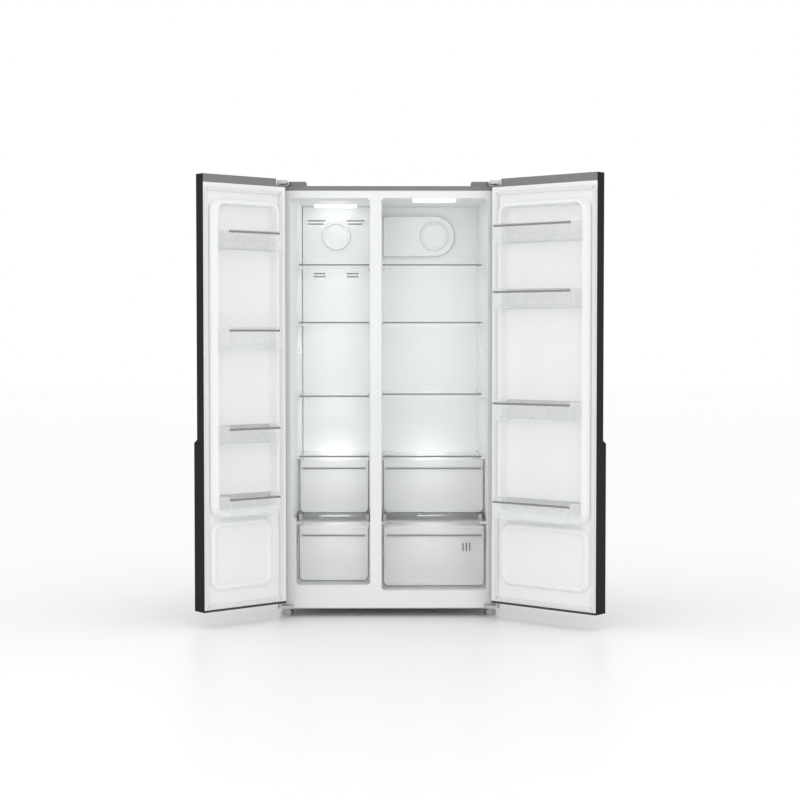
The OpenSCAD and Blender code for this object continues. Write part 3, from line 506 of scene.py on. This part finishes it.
def rounded_liner(node, name, front, ledge_depth):
    piece = merged_copy(node, name)
    low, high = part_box(node)
    wall = 2.2 * MM

    def in_cavity(place):
        # The cavity's own edges lie inside the sheet and reach its full depth or height
        return (low.x + wall * 0.6 < place.x < high.x - wall * 0.6
                and low.z + wall * 0.6 < place.z < high.z - wall * 0.6
                and front + 0.01 < place.y < high.y - wall * 0.6)

    mesh = piece.data
    only(piece)
    long_edges = set()
    for edge in mesh.edges:
        a, b = (mesh.vertices[k].co for k in edge.vertices)
        middle = (a + b) / 2
        span = b - a
        if not in_cavity(middle) or span.length < 0.1:
            continue
        deep = abs(span.y) > 0.3 * span.length and span.length > ledge_depth
        tall = abs(span.z) > 0.9 * span.length and middle.y > front + 0.2
        across = abs(span.x) > 0.9 * span.length and middle.y > high.y - 0.02
        if deep or tall or across:
            long_edges.add(edge.index)
    for group in (mesh.vertices, mesh.edges, mesh.polygons):
        group.foreach_set("select", [False] * len(group))
    for k in long_edges:
        mesh.edges[k].select = True
    bpy.context.tool_settings.mesh_select_mode = SELECT["EDGE"]
    bpy.ops.object.mode_set(mode="EDIT")
    bpy.ops.mesh.bevel(offset=MOUTH_RADIUS, segments=6, profile=0.5, clamp_overlap=True)
    bpy.ops.object.mode_set(mode="OBJECT")
    bpy.ops.object.shade_smooth_by_angle(angle=math.radians(30))
    print(name, len(long_edges), "corners rounded,", len(mesh.polygons), "faces")
    return finished(piece, liner_plastic, "cabinet", "white_plastic", node)


front_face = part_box("front_frame")[0].y
rounded_liner("freezer_liner", "freezer_liner_formed", front_face, 0.34)
rounded_liner("fridge_liner", "fridge_liner_formed", front_face, 0.34)

# %% [markdown]
# A shelf is a plate of tempered glass with a ground edge. A grey trim is clipped along its
# front, and clear plastic runners are glued along its sides. The drawer covers are the same,
# and the shelf between the drawers also has the upper drawer's side runners.

# %% Glass shelves
trim_height = 6 * MM
trim_depth = 15 * MM
glass_thickness = 5 * MM


def glass_plate(name, low, high):
    plate = block(name, low, high)
    ease(plate, 1.2 * MM, 2)
    return plate


def shelf_pieces(node, name, low, high):
    """Glass, front trim and side runners of one shelf, between two corners."""
    top = high.z
    plate = glass_plate(name + "_glass", (low.x, low.y + 3 * MM, top - 2 * MM - glass_thickness),
                        (high.x, high.y, top - 2 * MM))
    finished(plate, shelf_glass, "cabinet", "glass", node)

    trim = block(name + "_trim", (low.x, low.y, top - trim_height), (high.x, low.y + trim_depth, top))
    # The trim's back is a thin lip over the glass, under a rounded front
    pick(trim, "EDGE", lambda place, way: abs(way.x) > 0.9 and place.y > low.y + trim_depth / 2
         and place.z < top - trim_height / 2)
    bpy.ops.transform.translate(value=(0, 0, trim_height * 0.6))
    bpy.ops.object.mode_set(mode="OBJECT")
    ease(trim, 1.1 * MM, 3, 20)
    finished(trim, rail_plastic, "cabinet", "grey_plastic")

    for side, x in (("left", low.x), ("right", high.x - 8 * MM)):
        runner = block(name + "_runner_" + side, (x, low.y + trim_depth, top - 2 * MM),
                       (x + 8 * MM, high.y - 5 * MM, top))
        ease(runner, 0.8 * MM, 2)
        finished(runner, clear_bin, "cabinet", "clear_plastic")


for room in ("freezer", "fridge"):
    for k in (1, 2, 3):
        node = f"{room}_shelf_{k}"
        low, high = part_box(node)
        shelf_pieces(node, node, low, high)

# %% [markdown]
# Under each cover the drawers run on a grey plastic shelf. Its front edge shows as a line
# between the two drawers. The plate is a block with a shallow field inset in its top, and a
# raised rail for the drawer stands at each side.

# %% Shelves round the drawers
for node, room in (("freezer_drawer_shelves", "freezer"), ("crisper_shelves", "crisper")):
    low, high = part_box(node)
    cover_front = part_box(f"{room}_drawer_upper" if room == "freezer" else "crisper_upper")[0].y + 9 * MM
    shelf_pieces(node, room + "_cover", Vector((low.x, cover_front, 0)), high)
    plate_low = low.z
    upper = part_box("freezer_drawer_upper" if room == "freezer" else "crisper_upper")
    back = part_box("freezer_drawer_lower" if room == "freezer" else "crisper_lower")[1].y - 4 * MM
    plate = block(room + "_drawer_plate", (low.x, low.y, plate_low), (high.x, back, plate_low + 6 * MM))
    pick(plate, "FACE", lambda place, way: way.z > 0.9)
    bpy.ops.mesh.inset(thickness=14 * MM, depth=0)
    bpy.ops.mesh.inset(thickness=1 * MM, depth=-2 * MM)
    bpy.ops.object.mode_set(mode="OBJECT")
    ease(plate, 0.9 * MM, 2)
    finished(plate, shelf_plastic, "cabinet", "grey_plastic")
    for side, x in (("left", low.x), ("right", high.x - 14 * MM)):
        rail = block(f"{room}_drawer_rail_{side}", (x, low.y + 20 * MM, plate_low + 6 * MM),
                     (x + 14 * MM, back, upper[0].z - 0.5 * MM))
        pick(rail, "FACE", lambda place, way: way.z > 0.9)
        bpy.ops.mesh.inset(thickness=3 * MM, depth=0)
        bpy.ops.transform.translate(value=(0, 0, -3 * MM))
        bpy.ops.object.mode_set(mode="OBJECT")
        ease(rail, 0.8 * MM, 2)
        finished(rail, shelf_plastic, "cabinet", "grey_plastic")

# %% [markdown]
# A drawer is one injection-moulded tub of clear plastic with rounded lower corners. Its front
# carries a frame, a strip round its edge that is painted dark as painted shade, and a finger
# pull under the top edge. The tub starts as a block: its lower edges are rounded, the front's
# frame is an inset, its top is opened and its wall is given thickness.

# %% Drawers
drawer_wall = 3 * MM
drawer_radius = 22 * MM
pull_reach = 9 * MM
EDGE_STRIP = 4 * MM


def tub(node, narrow):
    """The tub of one drawer. Its right side comes in by narrow towards the back."""
    low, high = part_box(node)
    front = low.y + pull_reach
    piece = block(node + "_tub", (low.x, front, low.z), high)
    if narrow:
        pick(piece, "VERT", lambda place, way: place.x > high.x - MM and place.y > high.y - MM)
        bpy.ops.transform.translate(value=(-narrow, 0, 0))
        bpy.ops.object.mode_set(mode="OBJECT")
    # Rounded along the bottom at both sides
    pick(piece, "EDGE", lambda place, way: abs(way.y) > 0.9 and place.z < low.z + MM)
    bpy.ops.mesh.bevel(offset=drawer_radius, segments=8)
    bpy.ops.object.mode_set(mode="OBJECT")
    # The front is framed: an edge strip, then a shallow field inside a raised border
    pick(piece, "FACE", lambda place, way: way.y < -0.9)
    bpy.ops.mesh.inset(thickness=EDGE_STRIP, depth=0)
    bpy.ops.mesh.inset(thickness=5 * MM, depth=0)
    bpy.ops.mesh.inset(thickness=2 * MM, depth=-1.6 * MM)
    bpy.ops.object.mode_set(mode="OBJECT")
    pick(piece, "FACE", lambda place, way: way.z > 0.9)
    bpy.ops.mesh.delete(type="FACE")
    bpy.ops.object.mode_set(mode="OBJECT")
    modifier(piece, "SOLIDIFY", thickness=drawer_wall, offset=-1, use_even_offset=True)
    ease(piece, 0.9 * MM, 2, 35)
    finished(piece, clear_drawer, nodes[node]["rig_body"], "clear_plastic", node)
    # The strip round the front is painted dark: painted shade for the dark look a clear wall has when
    # seen along its length
    piece.data.materials.append(painted_edge_shade)
    for face in piece.data.polygons:
        place = face.center
        across = min(place.x - low.x, high.x - place.x)
        up = place.z - low.z
        reach = min(across, up)
        if across < drawer_radius and up < drawer_radius:
            reach = drawer_radius - math.hypot(drawer_radius - across, drawer_radius - up)
        if place.y < front + MM and reach < EDGE_STRIP:
            face.material_index = 1
    return piece


def pull(node, height, drop):
    """Finger pull: a lip along the front that turns down."""
    low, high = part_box(node)
    front = low.y + pull_reach
    piece = block(node + "_pull", (low.x + 14 * MM, low.y, height - 0.5 * MM),
                  (high.x - 14 * MM, front + 1 * MM, height + 3 * MM))
    pick(piece, "FACE", lambda place, way: way.z < -0.9)
    bpy.ops.mesh.bisect(plane_co=(0, low.y + 2.5 * MM, 0), plane_no=(0, 1, 0))
    bpy.ops.object.mode_set(mode="OBJECT")
    pick(piece, "FACE", lambda place, way: way.z < -0.9 and place.y < low.y + 2.5 * MM)
    bpy.ops.mesh.extrude_region_move(TRANSFORM_OT_translate={"value": (0, 0, -drop)})
    bpy.ops.object.mode_set(mode="OBJECT")
    ease(piece, 0.7 * MM, 2, 35)
    return finished(piece, rail_plastic, nodes[node]["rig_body"], "grey_plastic")


cover_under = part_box("freezer_drawer_shelves")[1].z - 7 * MM
for node, narrow in (("freezer_drawer_upper", 0), ("freezer_drawer_lower", 0),
                     ("crisper_upper", 12 * MM), ("crisper_lower", 12 * MM)):
    low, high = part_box(node)
    tub(node, narrow)
    pull(node, cover_under - 45 * MM if node.endswith("upper") else high.z - 40 * MM, 2 * MM)
    print(node, "tub", [round(v / MM) for v in high - low], "mm")

# %% [markdown]
# The lower crisper has three upright air slots near its right end, painted as dark bars: painted
# shade for the slots' depth. Each is a narrow bar with rounded ends: the short edges of a block
# are bevelled by half its width.

# %% Air slots
SLOT_WIDTH = 4 * MM
SLOT_HEIGHT = 36 * MM
SLOT_PITCH = 14 * MM
low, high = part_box("crisper_lower")
slot_x = high.x - 76 * MM
slot_z = high.z - 88 * MM
slot_y = low.y + pull_reach
for k in (-1, 0, 1):
    x = slot_x + k * SLOT_PITCH
    bar = block(f"crisper_painted_slot_shade_{k + 2}", (x - SLOT_WIDTH / 2, slot_y, slot_z - SLOT_HEIGHT / 2),
                (x + SLOT_WIDTH / 2, slot_y + 2 * MM, slot_z + SLOT_HEIGHT / 2))
    pick(bar, "EDGE", lambda place, way: abs(way.y) > 0.9)
    bpy.ops.mesh.bevel(offset=SLOT_WIDTH * 0.45, segments=5)
    bpy.ops.object.mode_set(mode="OBJECT")
    ease(bar, 0.3 * MM, 2, 50)
    # Painted shade: dark plastic stands in for the shade inside each slot
    finished(bar, dark_plastic, "crisper_lower", "dark_plastic")

# %% [markdown]
# In each compartment a round grille covers the fan's outlet. It is a smooth ring round a
# slightly sunk disc, with short spokes behind. A torus gives the ring, a cylinder whose face
# is inset gives the disc, and each spoke is turned to its place about the ring's axis.

# %% Fan grilles
ring_low, ring_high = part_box("vent_rings")
duct_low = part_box("fridge_air_duct")[0]
panel_low, panel_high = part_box("freezer_back_panel")
RING_REACH = 64 * MM
RING_TUBE = 6.5 * MM
SPOKES = 16
fan_height = (ring_low.z + ring_high.z) / 2


def fan_grille(name, x, wall):
    """A grille on the wall plane y = wall."""
    turn = (math.radians(90), 0, 0)
    bpy.ops.object.select_all(action="DESELECT")
    bpy.ops.mesh.primitive_torus_add(location=(x, wall - 4.5 * MM, fan_height), rotation=turn,
                                     major_radius=RING_REACH - 8 * MM, minor_radius=RING_TUBE,
                                     major_segments=72, minor_segments=16)
    bpy.ops.object.transform_apply(location=True, rotation=True, scale=True)
    ring = bpy.context.object
    bpy.ops.mesh.primitive_cylinder_add(location=(x, wall - 2 * MM, fan_height), rotation=turn,
                                        vertices=64, radius=RING_REACH - 12 * MM, depth=4 * MM)
    bpy.ops.object.transform_apply(location=True, rotation=True, scale=True)
    disc = bpy.context.object
    pick(disc, "FACE", lambda place, way: way.y < -0.9)
    bpy.ops.mesh.inset(thickness=4 * MM, depth=0)
    bpy.ops.mesh.inset(thickness=1.5 * MM, depth=-1.2 * MM)
    bpy.ops.object.mode_set(mode="OBJECT")
    parts = [ring, disc]
    for k in range(SPOKES):
        spoke = block("spoke", (x - 1.2 * MM, wall - 3 * MM, fan_height + RING_REACH - 22 * MM),
                      (x + 1.2 * MM, wall, fan_height + RING_REACH - 11 * MM))
        spoke.data.transform(Matrix.Translation((x, 0, fan_height))
                             @ Matrix.Rotation(k * math.tau / SPOKES, 4, "Y")
                             @ Matrix.Translation((-x, 0, -fan_height)))
        parts.append(spoke)
    grille = joined(parts, name)
    ease(grille, 0.6 * MM, 2, 50)
    return grille


freezer_ring = fan_grille("freezer_fan_grille", (panel_low.x + panel_high.x) / 2, panel_low.y)
finished(freezer_ring, white_plastic, "cabinet", "white_plastic", "vent_rings")
fridge_ring = fan_grille("fridge_fan_grille", ring_high.x - RING_REACH, duct_low.y)
finished(fridge_ring, white_plastic, "cabinet", "white_plastic")

# %% [markdown]
# The doors stand open at their stops, but they are easier to model closed, with their faces
# square to the axes. So every door piece is built in the closed place, and `hung` then turns
# its mesh about the hinge pin. `closed` measures a CAD node the same way, turned back.

# %% Door frames of reference
hinges = {joint["child"]: joint for joint in frame["joints"] if joint["name"].endswith("door_hinge")}


def hang_matrix(side):
    """Carries a closed door of that side to where it stands open."""
    joint = hinges[side + "_door"]
    pin = Matrix.Translation(joint["pos_m"])
    # The joint's lowest value is the closed door, so opening it is the way back up
    opening = -math.radians(joint["range_deg"][0])
    return pin @ Matrix.Rotation(opening, 4, Vector(joint["axis"])) @ pin.inverted()


def closed(node, side):
    """Lowest and highest corner of a door's node with that door closed."""
    back = hang_matrix(side).inverted()
    places = [back @ vertex.co for vertex in nodes[node].data.vertices]
    return (Vector([min(p[k] for p in places) for k in range(3)]),
            Vector([max(p[k] for p in places) for k in range(3)]))


def hung(piece, side):
    """Turns a piece that was modelled on the closed door to the open place."""
    only(piece)
    piece.matrix_world = hang_matrix(side)
    bpy.ops.object.transform_apply(location=True, rotation=True, scale=True)
    return piece


panel_box = {side: closed(side + "_door_panel", side) for side in ("left", "right")}
for side, (low, high) in panel_box.items():
    print(side, "door, closed:", [round(v / MM) for v in (*low, *high)], "mm")

# %% [markdown]
# The door's outer skin is one dark painted sheet, bent back round both upright edges, with a
# plastic cap at each end and a grip channel cut into its free edge. Their CAD shapes are
# right, so they only get rounded edges.

# %% Door skins, caps and grips
for side in ("left", "right"):
    door = side + "_door"
    eased_copy(door + "_panel", door + "_skin", 0.4 * MM, graphite_paint, "graphite", 1)
    eased_copy(door + "_grip", door + "_grip_channel", 0.8 * MM, graphite_paint, "graphite")

# %% [markdown]
# A cap is cut in two and each half is rounded. The top half is grey, and the bottom half is painted dark
# as painted shade, for the side that faces down.


# %% End caps
def cap(side, top):
    piece = merged_copy(side + "_door_caps", f"{side}_door_cap_{'top' if top else 'bottom'}")
    low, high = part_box(side + "_door_caps")
    middle = (low.z + high.z) / 2
    pick(piece, "VERT", lambda place, way: (place.z < middle) == top)
    bpy.ops.mesh.delete(type="VERT")
    bpy.ops.object.mode_set(mode="OBJECT")
    ease(piece, 0.8 * MM)
    return piece


for side in ("left", "right"):
    finished(cap(side, True), grey_plastic, side + "_door", "grey", side + "_door_caps")
    # Painted shade: the bottom cap is dark because it faces down
    finished(cap(side, False), dark_plastic, side + "_door", "dark_plastic")

# %% [markdown]
# The inner lining of a door is one formed white sheet. Its border is flat and carries the
# gasket. Inside the border a soft rim rises round a pocket for the bins, and a shallower rim
# goes round the panel under them. The rims start as flat plates with rounded corners, joined
# to the border by filling the gap, and an inset with a depth pulls each wall up or down.

# %% Door linings
RIM_SLOPE = 12 * MM
RIM_CREST = 12 * MM
POCKET_SLOPE = 6 * MM
POCKET_HEIGHT = 8 * MM
DIVIDER_CLEARANCE = 3.5 * MM
PLATE_RADIUS = 52 * MM
PLATE_GAP = 3.5 * MM
LOW_RIM_HEIGHT = 18 * MM
HINGE_JOG = 22 * MM
SEAM_STEP = 4 * MM
SEAM_DEPTH = 1.4 * MM
SEAM_HEIGHTS = (0.19, 0.80)
LINING_SHEET = 1.8 * MM


def rounded_plate(name, low, high, radius, face_y):
    """A flat upright plate that faces +Y, with rounded corners."""
    bpy.ops.object.select_all(action="DESELECT")
    middle = ((low[0] + high[0]) / 2, face_y, (low[1] + high[1]) / 2)
    bpy.ops.mesh.primitive_plane_add(size=1, location=middle, rotation=(math.radians(-90), 0, 0))
    plate = bpy.context.object
    plate.name = name
    plate.data.name = name
    plate.scale = (high[0] - low[0], high[1] - low[1], 1)
    bpy.ops.object.transform_apply(location=True, rotation=True, scale=True)
    if radius:
        pick(plate, "VERT", lambda place, way: True)
        bpy.ops.mesh.bevel(offset=radius, segments=9, affect="VERTICES")
        bpy.ops.object.mode_set(mode="OBJECT")
    return plate


def lining(side):
    low, high = closed(side + "_door_liner", side)
    face_y = panel_box[side][1].y
    rise = high.y - face_y
    first_bin = closed(side + "_bin_1", side)
    start = first_bin[0].z - RIM_CREST - 4 * MM
    rim_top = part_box("freezer_liner")[1].z - 23 * MM
    rim_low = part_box("freezer_liner")[0].z + 16 * MM
    # The rim's feet, measured from the ends of the bins, which stand inside it
    foot = RIM_SLOPE + 4 * MM
    rim_x = [first_bin[0].x - foot, first_bin[1].x + foot]
    # Beside the divider the rim stays clear of the frame when the door is shut
    if side == "left":
        rim_x[1] -= DIVIDER_CLEARANCE
    else:
        rim_x[0] += DIVIDER_CLEARANCE
    low_x = list(rim_x)
    if side == "left":
        low_x[0] += HINGE_JOG
    border = rounded_plate(side + "_door_lining", (low.x, low.z), (high.x, high.z), 0, face_y)
    pick(border, "FACE", lambda place, way: True)
    bpy.ops.mesh.delete(type="ONLY_FACE")
    bpy.ops.object.mode_set(mode="OBJECT")
    upper = rounded_plate("upper", (rim_x[0], start + PLATE_GAP), (rim_x[1], rim_top),
                          PLATE_RADIUS, face_y)
    lower = rounded_plate("lower", (low_x[0], rim_low), (low_x[1], start - PLATE_GAP),
                          PLATE_RADIUS, face_y)
    piece = joined([border, upper, lower], border.name)
    # Every edge bounds the ring between the border's outline and the two plates
    pick(piece, "EDGE", lambda place, way: True)
    bpy.ops.mesh.fill(use_beauty=True)
    bpy.ops.object.mode_set(mode="OBJECT")
    pick(piece, "FACE", lambda place, way: True)
    bpy.ops.mesh.normals_make_consistent(inside=False)
    bpy.ops.object.mode_set(mode="OBJECT")
    facing = sum(face.normal.y * face.area for face in piece.data.polygons)
    if facing < 0:
        pick(piece, "FACE", lambda place, way: True)
        bpy.ops.mesh.flip_normals()
        bpy.ops.object.mode_set(mode="OBJECT")

    def plate_face(z0, z1):
        big = max((face for face in piece.data.polygons
                   if z0 < face.center.z < z1 and len(face.vertices) > 8), key=lambda f: f.area)
        middle = big.center.copy()
        return lambda place, way: (place - middle).length < 1e-5

    for z0, z1, height in ((start, rim_top, rise), (rim_low, start, LOW_RIM_HEIGHT)):
        pick(piece, "FACE", plate_face(z0, z1))
        bpy.ops.mesh.inset(thickness=RIM_SLOPE, depth=height)
        bpy.ops.mesh.inset(thickness=RIM_CREST, depth=0)
        bpy.ops.mesh.inset(thickness=POCKET_SLOPE, depth=POCKET_HEIGHT - height)
        bpy.ops.object.mode_set(mode="OBJECT")

    # Two shallow seams across the upper pocket and a raised field in the lower one
    floor_y = face_y + POCKET_HEIGHT
    for z in (start + height for height in SEAM_HEIGHTS):
        for step in range(4):
            pick(piece, "FACE", lambda place, way: abs(place.y - floor_y) < MM and place.z > start
                 and way.y > 0.9)
            bpy.ops.mesh.bisect(plane_co=(0, 0, z + step * SEAM_STEP), plane_no=(0, 0, 1))
            bpy.ops.object.mode_set(mode="OBJECT")
        pick(piece, "FACE", lambda place, way: abs(place.y - floor_y) < MM and way.y > 0.9
             and z + SEAM_STEP < place.z < z + 2 * SEAM_STEP)
        bpy.ops.transform.translate(value=(0, SEAM_DEPTH, 0))
        bpy.ops.object.mode_set(mode="OBJECT")
    pick(piece, "FACE", lambda place, way: abs(place.y - floor_y) < MM and place.z < start
         and way.y > 0.9)
    bpy.ops.mesh.inset(thickness=8 * MM, depth=0)
    bpy.ops.mesh.inset(thickness=5 * MM, depth=2 * MM)
    bpy.ops.object.mode_set(mode="OBJECT")
    modifier(piece, "BEVEL", width=3 * MM, segments=4, limit_method="ANGLE",
             angle_limit=math.radians(35), miter_outer="MITER_ARC")
    modifier(piece, "SOLIDIFY", thickness=LINING_SHEET, offset=-1)
    only(piece)
    bpy.ops.object.shade_smooth_by_angle(angle=math.radians(45))
    modifier(piece, "WEIGHTED_NORMAL", keep_sharp=True)
    print(piece.name, len(piece.data.polygons), "faces")
    hung(piece, side)
    return finished(piece, liner_plastic, side + "_door", "white_plastic", side + "_door_liner")


for side in ("left", "right"):
    lining(side)

# %% [markdown]
# The space between the skin and the lining is filled with foam. It never shows, but its CAD
# block has square corners that would cut through the lining's soft ones. So a copy is cut off
# flat, just behind the lining.

# %% Insulation behind the linings
for side in ("left", "right"):
    core = merged_copy(side + "_door_foam", side + "_door_insulation")
    core.data.transform(hang_matrix(side).inverted())
    cut_y = panel_box[side][1].y - 2.2 * MM
    pick(core, "FACE", lambda place, way: True)
    bpy.ops.mesh.bisect(plane_co=(0, cut_y, 0), plane_no=(0, 1, 0), clear_outer=True, use_fill=True)
    bpy.ops.object.mode_set(mode="OBJECT")
    hung(core, side)
    finished(core, foam_core, side + "_door", "foam", side + "_door_foam")

# %% [markdown]
# The gasket is a soft white profile with a magnet inside, pressed into a groove round the
# lining. Seen from the front it is a flat band with a bellows fold on its side. The band is a
# rounded plate with an inset cut out, extruded to its height, with a groove inset in its sides.


# %% Gaskets
SEAL_WIDTH = 13 * MM
FOLD = (3 * MM, 5 * MM)


def gasket(side):
    low, high = closed(side + "_door_gasket", side)
    band = rounded_plate(side + "_door_seal", (low.x, low.z), (high.x, high.z), 8 * MM, low.y)
    pick(band, "FACE", lambda place, way: True)
    bpy.ops.mesh.inset(thickness=SEAL_WIDTH, depth=0)
    bpy.ops.mesh.delete(type="FACE")
    bpy.ops.object.mode_set(mode="OBJECT")
    pick(band, "FACE", lambda place, way: True)
    bpy.ops.mesh.extrude_region_move(TRANSFORM_OT_translate={"value": (0, high.y - low.y, 0)})
    for level in FOLD:
        bpy.ops.mesh.select_all(action="SELECT")
        bpy.ops.mesh.bisect(plane_co=(0, low.y + level, 0), plane_no=(0, 1, 0))
    bpy.ops.object.mode_set(mode="OBJECT")
    pick(band, "FACE", lambda place, way: abs(way.y) < 0.1
         and low.y + FOLD[0] < place.y < low.y + FOLD[1])
    bpy.ops.mesh.extrude_region_shrink_fatten(TRANSFORM_OT_shrink_fatten={"value": -1.5 * MM})
    bpy.ops.mesh.select_all(action="SELECT")
    bpy.ops.mesh.normals_make_consistent(inside=False)
    bpy.ops.object.mode_set(mode="OBJECT")
    ease(band, 1.2 * MM, 2)
    hung(band, side)
    return finished(band, white_rubber, side + "_door", "white_rubber", side + "_door_gasket")


for side in ("left", "right"):
    gasket(side)

# %% [markdown]
# A door bin is a clear tray between the two walls of the lining's rim. Its ends slant in to a
# straight front, which carries a grey rail, and the ends rise a little above the rail as ears.
# The tray starts as a block with its front corners drawn in. The top is opened, the wall gets
# its thickness, the front is lowered between the ears and ribs stiffen the ears.

# %% Door bins
BIN_WALL = 2.2 * MM
EAR = 14 * MM
RAIL = 8 * MM
BEND_DEPTH = 45 * MM
TAKE_IN = 40 * MM
FRONT_ROUND = 12 * MM
RIB_PITCH = 7 * MM
FRONT_INSET = {"left": (98, 46), "right": (76, 50)}


def bin_tray(side, node, name):
    low, high = closed(node, side)
    door_low, door_high = panel_box[side]
    hinge, free = (value * MM for value in FRONT_INSET[side])
    if side == "left":
        front_x = (door_low.x + hinge, door_high.x - free)
    else:
        front_x = (door_low.x + free, door_high.x - hinge)
    tray = block(name, low, high)
    bend = high.y - BEND_DEPTH
    pick(tray, "FACE", lambda place, way: True)
    bpy.ops.mesh.bisect(plane_co=(0, bend, 0), plane_no=(0, 1, 0))
    bpy.ops.object.mode_set(mode="OBJECT")
    for x_end, x_front in ((low.x, front_x[0]), (high.x, front_x[1])):
        pick(tray, "VERT", lambda place, way: abs(place.x - x_end) < MM and place.y > high.y - MM)
        bpy.ops.transform.translate(value=(x_front - x_end, 0, 0))
        bpy.ops.object.mode_set(mode="OBJECT")
    # The part behind the rim's crest is narrower, to fit in the pocket
    pick(tray, "VERT", lambda place, way: place.y < low.y + MM)
    bpy.ops.transform.resize(value=((high.x - low.x - TAKE_IN) / (high.x - low.x), 1, 1),
                             center_override=((low.x + high.x) / 2, 0, 0))
    bpy.ops.object.mode_set(mode="OBJECT")
    pick(tray, "EDGE", lambda place, way: abs(way.z) > 0.9 and place.y > high.y - MM)
    bpy.ops.mesh.bevel(offset=FRONT_ROUND, segments=5)
    bpy.ops.object.mode_set(mode="OBJECT")
    pick(tray, "FACE", lambda place, way: way.z > 0.9)
    bpy.ops.mesh.delete(type="FACE")
    bpy.ops.object.mode_set(mode="OBJECT")
    modifier(tray, "SOLIDIFY", thickness=BIN_WALL, offset=-1)
    rail_x = (front_x[0] + 6 * MM, front_x[1] - 6 * MM)
    cutter = block("cutter", (rail_x[0], high.y - 8 * MM, high.z - EAR - RAIL / 2),
                   (rail_x[1], high.y + 8 * MM, high.z + 1 * MM))
    modifier(tray, "BOOLEAN", object=cutter, operation="DIFFERENCE", solver="EXACT")
    bpy.data.objects.remove(cutter)
    ease(tray, 0.8 * MM, 2, 35)
    hung(tray, side)
    rail = block(name + "_rail", (rail_x[0], high.y - 7 * MM, high.z - EAR - RAIL / 2),
                 (rail_x[1], high.y, high.z - EAR + RAIL / 2))
    ease(rail, 2.2 * MM, 4)
    hung(rail, side)
    ribs = []
    ear_x = (front_x[1] - 4 * MM, -1) if side == "left" else (front_x[0] + 4 * MM, 1)
    for k in range(3):
        x = ear_x[0] + ear_x[1] * (k * RIB_PITCH)
        rib = block("rib", (x - 0.8 * MM, high.y - BIN_WALL - 1.6 * MM, low.z + 5 * MM),
                    (x + 0.8 * MM, high.y - BIN_WALL * 0.5, high.z - EAR - RAIL / 2))
        ribs.append(rib)
    bead = block("bead", (front_x[0] + 14 * MM, high.y - 1.2 * MM, low.z + 11 * MM),
                 (front_x[1] - 14 * MM, high.y - 0.1 * MM, low.z + 14 * MM))
    ribs.append(bead)
    stiffeners = joined(ribs, name + "_ribs")
    ease(stiffeners, 0.5 * MM, 2)
    hung(stiffeners, side)
    finished(tray, clear_bin, side + "_door", "clear_plastic", node)
    finished(rail, rail_plastic, side + "_door", "grey_plastic")
    finished(stiffeners, clear_bin, side + "_door", "clear_plastic")


for side in ("left", "right"):
    for k in (1, 2, 3, 4):
        bin_tray(side, f"{side}_bin_{k}", f"{side}_door_bin_{k}")

# %% [markdown]
# What the covers hide keeps its CAD shape: the evaporator behind the freezer's panel, the
# compressor and condenser under the back, the fans and the sheet base. They only need their
# finishes, which go on the nodes' own material slots.

# %% Finishes of the inner pieces
inner = {
    "back_plate": zinc_sheet, "base_plate": zinc_sheet, "cabinet_foam": foam_core,
    "evaporator": aluminium, "compressor": black_steel, "condenser": copper,
    "fan_motors": dark_plastic,
    "evaporator_fan": white_plastic, "condenser_fan": dark_plastic,
}
for node, finish in inner.items():
    for slot in nodes[node].material_slots:
        slot.material = finish
bare = [name for name, node in nodes.items() if not node.hide_render and name not in inner]
print("nodes without a finish:", bare)
